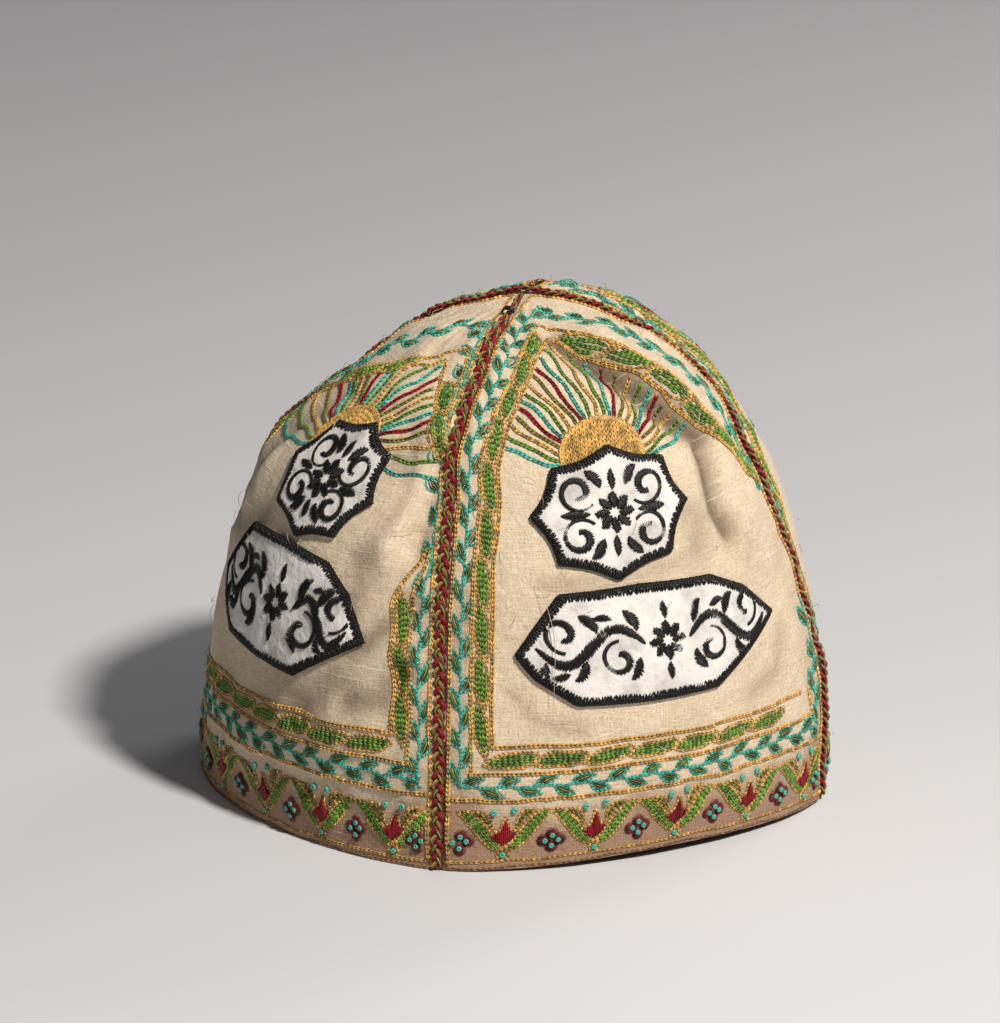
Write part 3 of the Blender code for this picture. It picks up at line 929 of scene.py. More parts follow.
def end_in_tube(nodes, given, curve, radius):
    """Ends a tree in tubes along its curves."""
    thick = nodes.out("GeometryNodeSetCurveRadius", {}, {"Curve": curve, "Radius": radius})
    tube = nodes.add("GeometryNodeCurveToMesh", {},
                     {"Curve": thick, "Profile Curve": circle(nodes, given["Sides"], 1.0),
                      "Fill Caps": True})
    if "Scale" in tube.inputs:
        nodes.tree.links.new(nodes.out("GeometryNodeInputRadius"), tube.inputs["Scale"])
    return end_tree(nodes, given, tube.outputs[0])


def circle(nodes, sides, radius):
    return nodes.out("GeometryNodeCurvePrimitiveCircle", {"mode": "RADIUS"},
                     {"Resolution": sides, "Radius": radius})


def spaced(nodes, curve, step):
    """The curves with a point at every step."""
    return nodes.out("GeometryNodeResampleCurve", {"mode": "LENGTH"},
                     {"Curve": curve, "Length": step})


def facing_rotation(nodes):
    """Rotation with X along the thread and Z out of the cloth."""
    along = nodes.out("FunctionNodeAlignRotationToVector", {"axis": "X"},
                      {"Vector": nodes.out("GeometryNodeInputTangent")})
    return nodes.out("FunctionNodeAlignRotationToVector", {"axis": "Z", "pivot_axis": "X"},
                     {"Rotation": along, "Vector": nodes.carried("facing", "FLOAT_VECTOR")})


def toned(nodes, geometry, domain, seed):
    """Keeps a random shade with each stitch."""
    return nodes.out("GeometryNodeStoreNamedAttribute", {"data_type": "FLOAT", "domain": domain},
                     {"Geometry": geometry, "Name": "tone",
                      "Value": nodes.random(0.0, 1.0, seed)})


def stitch_tree():
    """Repeats a stitch of one or two legs along each line."""
    nodes, given, curve = start_tree("Stitches along threads", {
        "Pitch": 0.0014, "Length": 0.0018, "Leg width": 0.0005, "Leg height": 0.0005,
        "Apart": 0.0003, "Splay": 0.22, "Turn": 0.0, "Jitter": 0.12, "Seed": 1, "Sides": 4,
        "Rings": 3})
    ball = nodes.out("GeometryNodeMeshUVSphere", {},
                     {"Segments": given["Sides"], "Rings": given["Rings"], "Radius": 0.5})
    upright = nodes.out("GeometryNodeTransform", {},
                        {"Geometry": ball, "Rotation": (0.0, pi / 2, 0.0)})
    scale = nodes.vector(given["Length"], given["Leg width"], given["Leg height"])
    apart, splay = Signal(nodes, given["Apart"]), Signal(nodes, given["Splay"])
    legs = [nodes.out("GeometryNodeTransform", {},
                      {"Geometry": upright, "Translation": nodes.vector(y=apart * sign),
                       "Rotation": nodes.vector(z=splay * sign), "Scale": scale})
            for sign in (1.0, -1.0)]
    pair = nodes.add("GeometryNodeJoinGeometry")
    for leg in legs:
        nodes.tree.links.new(leg, pair.inputs[0])
    both = nodes.out("FunctionNodeCompare", {"operation": "GREATER_THAN"}, {0: apart, 1: 1e-6})
    stitch = nodes.out("GeometryNodeSwitch", {"input_type": "GEOMETRY"},
                       {"Switch": both, "False": legs[0], "True": pair.outputs[0]})
    wobble = nodes.random(-1.0, 1.0, given["Seed"])
    plump = nodes.random(0.88, 1.12, given["Seed"])
    spin = nodes.vector(z=wobble * given["Jitter"] + given["Turn"])
    turn = nodes.out("FunctionNodeRotateRotation", {"rotation_space": "LOCAL"},
                     {"Rotation": facing_rotation(nodes), "Rotate By": spin})
    placed = nodes.out("GeometryNodeInstanceOnPoints", {},
                       {"Points": spaced(nodes, curve, given["Pitch"]), "Instance": stitch,
                        "Rotation": turn,
                        "Scale": nodes.vector(nodes.carried("size"), plump, plump)})
    return end_tree(nodes, given, toned(nodes, placed, "INSTANCE", given["Seed"]))


def satin_tree():
    """Makes each line one thread that dives into the cloth at both ends."""
    nodes, given, curve = start_tree("Satin threads", {
        "Radius": 0.0003, "Step": 0.0012, "Crown": 0.0003, "Sides": 4, "Seed": 1})
    shaded = toned(nodes, curve, "CURVE", given["Seed"])
    arch = (nodes.number("GeometryNodeSplineParameter") * pi).sine()
    rise = nodes.scaled(nodes.carried("facing", "FLOAT_VECTOR"), (arch ** 0.6) * given["Crown"])
    lifted = nodes.out("GeometryNodeSetPosition", {},
                       {"Geometry": spaced(nodes, shaded, given["Step"]), "Offset": rise})
    radius = (0.25 + 0.75 * arch ** 0.5) * nodes.carried("size") * given["Radius"]
    return end_in_tube(nodes, given, lifted, radius)


def bead_tree():
    """Sets a ring-shaped knot on each point."""
    nodes, given, curve = start_tree("Knots", {"Diameter": 0.002, "Height": 0.0013})
    ends = nodes.out("GeometryNodeResampleCurve", {"mode": "COUNT"}, {"Curve": curve, "Count": 2})
    first = nodes.out("GeometryNodeCurveEndpointSelection", {}, {"Start Size": 1, "End Size": 0})
    ring = nodes.out("GeometryNodeCurveToMesh", {},
                     {"Curve": circle(nodes, 9, 0.30), "Profile Curve": circle(nodes, 5, 0.23)})
    wide = Signal(nodes, nodes.carried("size")) * given["Diameter"]
    placed = nodes.out("GeometryNodeInstanceOnPoints", {},
                       {"Points": ends, "Selection": first, "Instance": ring,
                        "Rotation": facing_rotation(nodes),
                        "Scale": nodes.vector(wide, wide, given["Height"])})
    return end_tree(nodes, given, placed)


def braid_tree():
    """Weaves one yarn of a three-strand braid along the seam."""
    nodes, given, curve = start_tree("Braid strand", {
        "Width": 0.0037, "Lobe": 0.0022, "Height": 0.0007, "Strand": 0.0, "Beside": 0.0,
        "Radius": 0.0004, "Step": 0.0005, "Ply": 0.0, "Sides": 5})
    way = nodes.number("GeometryNodeSplineParameter", output=1)
    lobe, strand = Signal(nodes, given["Lobe"]), Signal(nodes, given["Strand"])
    phase = way / (lobe * 3) * FULL_TURN + strand * (FULL_TURN / 3)
    size = Signal(nodes, nodes.carried("size"))
    swing = (phase.sine() * given["Width"] * 0.5 + given["Beside"]) * size
    hop = ((phase * 2 + pi).sine() * given["Height"] + given["Ply"]) * size
    facing = nodes.carried("facing", "FLOAT_VECTOR")
    side = nodes.vectors("CROSS_PRODUCT", facing, nodes.out("GeometryNodeInputTangent"))
    both = nodes.vectors("ADD", nodes.scaled(side, swing), nodes.scaled(facing, hop))
    moved = nodes.out("GeometryNodeSetPosition", {},
                      {"Geometry": spaced(nodes, curve, given["Step"]), "Offset": both})
    return end_in_tube(nodes, given, moved, size * given["Radius"])


TREES = {}


def grown_mesh(guide, make, settings):
    """The plain mesh that a tree makes of a guide object. The guide is used up."""
    if make not in TREES:
        TREES[make] = make()
    tree = TREES[make]
    modifier = guide.modifiers.new("grow", "NODES")
    modifier.node_group = tree
    names = {item.name: item.identifier for item in tree.interface.items_tree
             if item.in_out == "INPUT"}
    for label, value in settings.items():
        modifier[names[label]] = value
    bpy.context.view_layer.update()
    evaluated = guide.evaluated_get(bpy.context.evaluated_depsgraph_get())
    mesh = bpy.data.meshes.new_from_object(evaluated)
    guide.modifiers.remove(modifier)
    bpy.data.objects.remove(guide)
    return mesh


def read_back(items, key, kind, width=1):
    values = np.zeros(len(items) * width, kind)
    items.foreach_get(key, values)
    return values


def join_meshes(name, meshes):
    """One piece from several plain meshes of one material, each stitch with its tone."""
    points = np.concatenate([read_back(m.vertices, "co", np.float32, 3) for m in meshes])
    shift = np.cumsum([0] + [len(m.vertices) for m in meshes])
    turn = np.cumsum([0] + [len(m.loops) for m in meshes])
    corners = np.concatenate([read_back(m.loops, "vertex_index", np.int32) + start
                              for m, start in zip(meshes, shift)])
    starts = np.concatenate([read_back(m.polygons, "loop_start", np.int32) + start
                             for m, start in zip(meshes, turn)])
    tones = [read_back(m.attributes["tone"].data, "value", np.float32)
             if "tone" in m.attributes and m.attributes["tone"].domain == "POINT"
             else np.full(len(m.vertices), 0.5) for m in meshes]
    mesh = bpy.data.meshes.new(name)
    mesh.vertices.add(len(points) // 3)
    mesh.vertices.foreach_set("co", points)
    mesh.loops.add(len(corners))
    mesh.loops.foreach_set("vertex_index", corners)
    mesh.polygons.add(len(starts))
    mesh.polygons.foreach_set("loop_start", starts)
    mesh.update(calc_edges=True)
    mesh.shade_smooth()
    add_attribute(mesh, "tone", "FLOAT", np.concatenate(tones))
    mesh.materials.append(next(slot for slot in meshes[0].materials if slot))
    for used in meshes:
        bpy.data.meshes.remove(used)
    return link(bpy.data.objects.new(name, mesh))


def start_material(name):
    """A new material with its emptied tree and the place on the object."""
    material = bpy.data.materials.new(name)
    material.use_nodes = True
    nodes = Nodes(material.node_tree)
    return material, nodes, nodes.out("ShaderNodeTexCoord", output="Object")


def end_material(nodes, base, roughness, bump, inputs):
    """Ends a material's tree. The bump is its strength, depth and height."""
    strength, depth, height = bump
    normal = nodes.out("ShaderNodeBump", {},
                       {"Strength": strength, "Distance": depth, "Height": height})
    shader = nodes.out("ShaderNodeBsdfPrincipled", {},
                       {"Base Color": base, "Roughness": roughness, "Normal": normal, **inputs})
    nodes.add("ShaderNodeOutputMaterial", {}, {"Surface": shader})


def thread_material(colour_name):
    """Twisted silk, with stitches lighter and darker than the next and faded stretches."""
    name = colour_name + "_silk"
    if name in bpy.data.materials:
        return bpy.data.materials[name]
    colour = getattr(bpy.context.scene.skullcap_threads, colour_name)
    material, nodes, place = start_material(name)
    tone = Signal(nodes, nodes.attribute("tone", "Fac"))
    faded = nodes.noise(place, 45.0, 2.0).rises(0.40, 0.72)
    ply = nodes.noise(place, 1500.0, 1.0)
    deep = colour_name in DEEP_SILKS
    dark = tuple(c * 0.30 for c in colour)
    light = tuple(min(1.0, c * 1.60 + (0.0 if deep else 0.010)) for c in colour)
    pale = tuple(c * 0.90 + 0.020 for c in colour)
    rough = BLACK_ROUGHNESS if colour_name == "black" else SILK_ROUGHNESS
    base = nodes.blend(tone * 0.75 + ply.rises(0.3, 0.7) * 0.25, dark, light)
    base = nodes.blend(faded * (0.1 if deep else 0.4), base, pale)
    end_material(nodes, base, rough + 0.15 * ply,
                 (0.6, 0.0002, ply), {"Specular IOR Level": 0.32 if deep else 0.60})
    return material


def cotton_material():
    """Undyed plain weave with slubs, darkened at the hem and along the borders by dirt and painted
    shade, soiled in spots, and with painted shade and some dirt in the creases.
    """
    cloth = bpy.context.scene.skullcap_cloth
    material, nodes, place = start_material("cotton")
    on_cloth = nodes.attribute("on_cloth", "Vector")
    # Both in millimetres
    _, up, beside = (Signal(nodes, output) for output in
                     nodes.add("ShaderNodeSeparateXYZ", {}, {0: on_cloth}).outputs)
    weft = nodes.noise(on_cloth, 1.0, 2.0, stretch=(0.22, 2.1, 0.0))
    warp = nodes.noise(on_cloth, 1.0, 2.0, stretch=(2.1, 0.30, 0.0))
    slub = nodes.noise(on_cloth, 1.0, 1.0, stretch=(0.05, 0.9, 0.0)).rises(0.62, 0.78)
    speck = nodes.noise(on_cloth, 1.0, 3.0, 0.7, (1.5, 1.5, 0.0))
    crumple = nodes.noise(on_cloth, 1.0, 3.0, stretch=(0.16, 0.16, 0.0))
    broad = nodes.noise(place, 22.0, 4.0, 0.6).rises(0.48, 0.78)
    spots = nodes.noise(place, 75.0, 4.0, 0.65).rises(0.60, 0.82)
    hem = 1 - up.rises(6.0, 27.0)
    border = 1 - beside.rises(6.0, 17.0)
    low_border = 1 - up.rises(20.0, 150.0)
    # Dirt and painted shade: darker towards the hem and along the stitched borders, where raised
    # stitches shade the cloth, with stains in broad patches and spots
    soil_and_shade = hem * 0.92 + border * low_border * 0.40 + broad * 0.42 + spots * 0.34 + 0.04
    soil_and_shade = soil_and_shade.rises(0.0, 1.05)
    base = nodes.blend(soil_and_shade, cloth.cream, cloth.stain_and_shade)
    # Painted shade in the creases, with some dirt
    shade_and_dirt = Signal(nodes, nodes.attribute("shade_and_dirt", "Fac"))
    base = nodes.blend(shade_and_dirt * 0.90, base, CREASE_SHADE_AND_DIRT)
    thread = (weft + warp) * 0.5
    for amount, shade in ((thread.rises(0.36, 0.60) * 0.42, (0.58, 0.49, 0.38)),
                          (speck.rises(0.50, 0.66) * 0.55, (0.56, 0.46, 0.36))):
        base = nodes.blend(amount, base, nodes.blend(1.0, base, shade, "MULTIPLY"))
    base = nodes.blend(slub * 0.30, base, (0.86, 0.74, 0.56))
    height = weft * 0.6 + warp * 0.4 + slub * 0.35 + speck * 0.5 + crumple * 3.0
    end_material(nodes, base, 0.86 + 0.08 * soil_and_shade, (0.9, 0.00034, height), {
        "Specular IOR Level": 0.25, "Sheen Weight": 0.12, "Sheen Roughness": 0.5})
    return material


def felt_material():
    """White felt with a soft nap, greyed in patches."""
    material, nodes, place = start_material("white_felt")
    grey = nodes.noise(place, 90.0, 4.0, 0.6).rises(0.42, 0.76)
    fleck = nodes.noise(place, 700.0, 3.0, 0.7)
    base = nodes.blend(grey * 0.80, (0.72, 0.68, 0.64), (0.34, 0.31, 0.28))
    base = nodes.blend(fleck.rises(0.50, 0.72) * 0.35, base, (0.56, 0.53, 0.50))
    height = fleck * 0.25 + nodes.noise(place, 150.0, 3.0) * 1.2
    end_material(nodes, base, 0.90 + 0.08 * grey, (0.8, 0.0014, height), {
        "Specular IOR Level": 0.2, "Sheen Weight": 0.25, "Sheen Roughness": 0.6})
    return material


def fine(routes, step=GUIDE_STEP):
    """The same lines with a point at every step."""
    return [resampled(route, step) for route in routes if len(route) > 1]


# A job is some threads, their height over the cloth, the tree that grows them and the
# tree's inputs
def chains(part, lines, seed, raised=0.0):
    """The job of chains of two-legged stitches."""
    over, colour, own_seed, width, pitch, rings = CHAINS[part]
    threads = bpy.context.scene.skullcap_threads
    wide, step = threads.width * width, threads.pitch * pitch
    return fine(lines), over + raised, stitch_tree, {
        "Pitch": step, "Length": step * 1.75, "Leg width": wide * 0.56,
        "Leg height": wide * 0.80, "Apart": wide * 0.24, "Splay": 0.24, "Turn": 0.0,
        "Jitter": 0.12, "Seed": seed + own_seed, "Sides": 4, "Rings": rings,
        "Material": thread_material(colour)}


def bars(part, lines, seed, top):
    """The job of black stitches laid side by side, at a turn to their lines."""
    share, own_seed, pitch, length, width, turn, jitter = BARS[part]
    return fine(lines), top * share, stitch_tree, {
        "Pitch": pitch, "Length": length, "Leg width": width, "Leg height": 0.00080,
        "Apart": 0.0, "Splay": 0.0, "Turn": turn, "Jitter": jitter, "Seed": seed + own_seed,
        "Sides": 4, "Rings": 3, "Material": thread_material("black")}


def satin(part, lines, seed=0):
    """The job of single threads."""
    over, colour, own_seed, radius, step, crown, sides = SATINS[part]
    return lines, over, satin_tree, {
        "Radius": radius, "Step": step, "Crown": crown, "Sides": sides,
        "Seed": seed + own_seed, "Material": thread_material(colour)}


def knots(part, points):
    """The job of knots on points of one gore."""
    over, diameter, height = KNOTS[part]
    lines = [np.array([[x, y], [x + KNOT_STEP, y]]) for x, y in points]
    return fine(lines, KNOT_STEP / 2), over, bead_tree, {
        "Diameter": diameter, "Height": height, "Material": thread_material("teal")}


def embroider(name, gore, slot, *jobs, drawn=True):
    """One piece from several jobs on one gore."""
    meshes = []
    for routes, out, make, inputs in jobs:
        if routes:
            guide = thread_guide(name + "_guide", gore, routes, out, drawn)
            meshes.append(grown_mesh(guide, make, inputs))
    settle(join_meshes(name + "_" + gore, meshes), slot)


def make_gore_cloth(gore, material):
    """The cloth of one gore with its wall, folds and puckers."""
    cloth = bpy.context.scene.skullcap_cloth
    first = GORES[gore][0]
    ups = (CROWN - CROWN_HOLE) * np.linspace(0, 1, cloth.rows + 1)
    radius = meridian(radians(first + 45), ups)[0]
    edge = SEAM_GAP / 2 / radius
    share = np.linspace(-1, 1, cloth.columns + 1)
    share = np.sign(share) * (1 - (1 - np.abs(share)) ** SEAM_CROWDING)
    azimuth = first + 45 + np.degrees(share[None] * (pi / 4 - edge[:, None]))
    up = np.broadcast_to(ups[:, None], azimuth.shape)
    sides = [surface(azimuth, up, out).reshape(-1, 3) for out in (0.0, -cloth.thickness)]
    grid = np.arange(azimuth.size).reshape(azimuth.shape)
    quads = np.stack([grid[:-1, :-1], grid[:-1, 1:], grid[1:, 1:], grid[1:, :-1]], -1)
    quads = quads.reshape(-1, 4)
    rim = np.concatenate([grid[0], grid[1:, -1], grid[-1, -2::-1], grid[-2:0:-1, 0]])
    after = np.roll(rim, -1)
    walls = np.stack([rim, rim + grid.size, after + grid.size, after], -1)
    faces = np.vstack([quads, quads[:, ::-1] + grid.size, walls]).tolist()
    piece = mesh_object("cloth_" + gore, np.vstack(sides), faces, material)
    piece.data.set_sharp_from_angle(angle=radians(60))
    middle_radius = meridian(np.radians(azimuth), up)[0]
    across = np.radians(azimuth - first - 45) * middle_radius
    seam = np.radians(45 - np.abs(azimuth - first - 45)) * middle_radius
    on_cloth = np.stack([across, up, seam], -1).reshape(-1, 3) / MM
    on_cloth[:, 0] += first * 3
    add_attribute(piece.data, "on_cloth", "FLOAT_VECTOR", np.vstack([on_cloth, on_cloth]))
    # Painted shade, with some dirt, along the creases, for the material
    shade_and_dirt = crease_depth(azimuth, up, middle_radius)[1].reshape(-1)
    add_attribute(piece.data, "shade_and_dirt", "FLOAT", np.concatenate([shade_and_dirt, shade_and_dirt]))
    settle(piece, "cotton", "gore_" + gore)
    widths = 2 * half_width(gore, ups)


def make_patch(row, material):
    """A felt patch with a domed, quilted face and a thin edge."""
    form, gore, across, up, width, height, _, _ = row
    felt = bpy.context.scene.skullcap_cloth.felt
    outline, middle = patch_outline(row), np.array([across, up])
    count = len(outline)
    points = []
    for top in (True, False):
        for share, rise in PATCH_RINGS:
            lay = middle + (outline - middle) * share if share else middle[None]
            quilt = ripple(*(lay / QUILT_STEP + (9, 5)).T) * QUILT_HEIGHT * (rise > 0.9)
            out = FELT_SEAT + (felt * rise + quilt if top else 0.0)
            points.append(on_gore(gore, lay[:, 0], lay[:, 1], out)[0])
    layer = 1 + count * (len(PATCH_RINGS) - 1)
    i = np.arange(count)
    j = (i + 1) % count
    faces = []
    for start, turn in ((0, 1), (layer, -1)):
        centre = np.stack([np.full(count, start), start + 1 + i, start + 1 + j], -1)
        faces += centre[:, ::turn].tolist()
        for inner in range(start + 1, start + layer - count, count):
            outer = inner + count
            ring = np.stack([inner + i, outer + i, outer + j, inner + j], -1)
            faces += ring[:, ::turn].tolist()
    top_edge, low_edge = layer - count, 2 * layer - count
    faces += np.stack([top_edge + i, low_edge + i, low_edge + j, top_edge + j], -1).tolist()
    piece = mesh_object("felt_" + form + "_" + gore, np.concatenate(points), faces, material)
    settle(piece, "white_felt", form + "_" + gore)


def vine(route):
    """Stem and leaf outlines of a vine along a border line, and its leaves' dark sides
    and bright middles."""
    count = max(1, round(route.length / VINE_PITCH))
    pitch = route.length / count
    along = np.arange(0, route.length, LINE_STEP)
    outlines, dark, bright = [route.at(along, 0.0005 * np.sin(FULL_TURN * along / pitch))], [], []
    for k in range(2 * count):
        side = 1 if k % 2 == 0 else -1
        root = (k + 0.1) * pitch / 2
        base = route.at(root, 0.0002 * side)
        reach, spread = 0.0060 + 0.0005 * sin(k * 2.4), 0.0026 + 0.0003 * sin(k * 1.7)
        tip = route.at(min(root + reach, route.length), spread * side)
        if np.hypot(*(tip - base)) >= SHORTEST_LEAF:
            left, right, spine = ellipse_leaf(base, tip, 0.0029, 0.0004 * side)
            outlines += [left, right]
            dark += [0.5 * (spine + edge)[1:-1] for edge in (left, right)]
            bright.append(spine[1:-1])
    return outlines, dark, bright


def blocks(route):
    """Fill rows and outlines of the slanted leaf blocks along a border line."""
    fills, outlines = [], []
    for k in range(int((route.length - BLOCK_START) // BLOCK_PITCH)):
        low = BLOCK_START + k * BLOCK_PITCH
        high = BLOCK_START + (k + 1) * BLOCK_PITCH - BLOCK_GAP
        for row in (-1, 0, 1):
            trim, shift = BLOCK_TRIM * abs(row), BLOCK_SLANT * row
            along = np.linspace(low + trim + shift, high - trim + shift, 12)
            bow = 1 - 0.3 * ((along - shift - (low + high) / 2) / (high - low) * 2) ** 2
            fills.append(route.at(along, BLOCK_ROW * row * bow))
        outlines.append(np.array([
            route.at(min(max((low, high)[end] + way, 0), route.length), beside)
            for end, way, beside in BLOCK_OUTLINE]))
    return fills, outlines


def shown_sides(gore, line):
    """The stretches of a border line beside and under the field that no fold hides."""
    left, right, bottom = border_line(gore, line)
    return [Route(side) for side in
            [left, bottom] + split_at(right, hidden(gore, right, line[0]))]


class SKULLCAP_OT_cloth(bpy.types.Operator):
    """Makes the four cloth gores"""

    bl_idname = "skullcap.cloth"
    bl_label = "Cloth gores"

    def execute(self, context):
        material = cotton_material()
        for gore in GORES:
            make_gore_cloth(gore, material)
        return {"FINISHED"}


class SKULLCAP_OT_patches(bpy.types.Operator):
    """Makes the felt medallions and cartouches"""

    bl_idname = "skullcap.patches"
    bl_label = "Felt patches"

    def execute(self, context):
        material = felt_material()
        for row in PATCHES:
            make_patch(row, material)
        return {"FINISHED"}


class SKULLCAP_OT_borders(bpy.types.Operator):
    """Embroiders the gold lines, the vine and the leaf blocks of each border"""

    bl_idname = "skullcap.borders"
    bl_label = "Borders"

    def execute(self, context):
        for number, gore in enumerate(GORES):
            gold, seed = [], number * 10
            for line in (OUTER_LINE, MIDDLE_LINE, INNER_LINE):
                left, right, bottom = border_line(gore, line)
                loop = np.vstack([left, right[::-1]])
                gold += split_at(loop, hidden(gore, loop, line[0])) + [bottom]
            for side in border_line(gore, (OUTER_LINE[0], HEM_LINE))[:2]:
                gold.append(side[side[:, 1] < OUTER_LINE[1]])
            vines = [vine(route) for route in shown_sides(gore, VINE_LINE)]
            stems, dark, bright = (sum(lines, []) for lines in zip(*vines))
            rows = [blocks(route) for route in shown_sides(gore, BLOCK_LINE)]
            fills, edges = (sum(lines, []) for lines in zip(*rows))
            embroider("border_gold", gore, "gold_thread",
                      chains("border", gold, seed), chains("block_edge", edges, seed))
            embroider("border_vine", gore, "teal_thread", chains("vine", stems, seed))
            embroider("border_shade", gore, "green_thread", satin("leaf_shade", fine(dark), seed))
            embroider("border_veins", gore, "green_thread", satin("leaf_vein", fine(bright), seed))
            embroider("border_leaves", gore, "green_thread", chains("block", fills, seed))
        return {"FINISHED"}


def sun_ray(gore, k):
    """One ray of a gore's half sun, out to the border's inner line."""
    across, up, size, fan, sweep = SUNS[gore]
    root = radians(RAY_FIRST - RAY_FAN * k / (RAYS - 1))
    turn = pi / 2 + (root - pi / 2) * fan
    way = np.arange(0.0, RAY_REACH, SUN_STEP)
    bend = (pi / 2 - turn) * sweep * eased(way / RAY_RUN)
    wave = RAY_SWAY * np.sin(FULL_TURN * way / RAY_WAVE + k * RAY_PHASE)
    start = np.array([across, up]) + (size + SUN_STEP) * np.array([cos(root), sin(root)])
    steps = np.stack([np.cos(turn + bend), np.sin(turn + bend)], -1)
    side = np.stack([-steps[:, 1], steps[:, 0]], -1)
    line = start + np.cumsum(steps, axis=0) * SUN_STEP + side * wave[:, None]
    half, inner = half_width(gore, line[:, 1]), INNER_LINE[0] + RAY_MARGIN
    left = -half + side_offset(gore, False, inner, line[:, 1])
    right = half - side_offset(gore, True, inner, line[:, 1])
    out = (line[:, 0] < left) | (line[:, 0] > right)
    return line[:np.argmax(out)] if out.any() else line


class SKULLCAP_OT_suns(bpy.types.Operator):
    """Embroiders the half sun and its rays over each medallion"""

    bl_idname = "skullcap.suns"
    bl_label = "Suns"

    def execute(self, context):
        for number, (gore, (across, up, size, _, _)) in enumerate(SUNS.items()):
            medallion = next(row for row in PATCHES if row[:2] == ("medallion", gore))
            cover = patch_outline(medallion, grow=SUN_COVERED)
            angle = np.linspace(radians(SUN_FIRST), radians(SUN_LAST), 80)
            rim = oval((across, up), size, size, angle)
            rows = split_at(rim, inside(rim, cover))
            for line in hatch(rim, SUN_ROW, pi / 2, SUN_INSET):
                line = resampled(line, SUN_STEP)
                rows += split_at(line, inside(line, cover))
            rays = {name: [] for name in RAY_THREADS}
            middle = (RAYS - 1) // 2
            for k in range(RAYS):
                line = sun_ray(gore, k)
                place = k if k <= middle else RAYS - 1 - k
                name = "gold" if k == middle else RAY_THREADS[place % len(RAY_THREADS)]
                if len(line) >= SHORTEST_RAY:
                    rays[name] += split_at(line, inside(line, cover))
            seed = 100 + number * 10
            embroider("sun_gold", gore, "gold_thread", chains("sun", rows, seed),
                      chains("ray_gold", rays.pop("gold"), seed))
            for name, lines in rays.items():
                slot = "green_thread" if name == "olive" else name + "_thread"
                embroider("ray_" + name, gore, slot, chains("ray_" + name, lines, seed))
        return {"FINISHED"}


def tulip_leaf(middle, side, pitch):
    """Upper edge, lower edge and fill rows of one leaf of the wave under a tulip."""
    t = np.linspace(0, 1, 24)
    reach = pitch * LEAF_SHARE
    x = middle + side * (reach - t * (reach - LEAF_END))
    y = LEAF_LOW + LEAF_RISE * (0.5 + 0.5 * np.cos(pi * t)) ** 0.85
    spine = Route(np.stack([x, y], -1))
    along = np.linspace(0, spine.length, 24)
    swell = np.sin(pi * np.clip(along / spine.length, 0, 1)) ** 0.6
    upper = spine.at(along, -side * (0.0004 + 0.0015 * swell))
    lower = spine.at(along, side * (0.0002 + 0.0016 * swell))
    rows = [spine.at(along, -side * beside * swell)[slice(4, -3) if beside else slice(2, -2)]
            for beside in (-LEAF_ROW, 0.0, LEAF_ROW)]
    return upper, lower, rows


def kept_within(lines, half):
    """The stretches of lines that lie within half a width of the middle."""
    return [run for line in lines for run in split_at(line, np.abs(line[:, 0]) > half)]


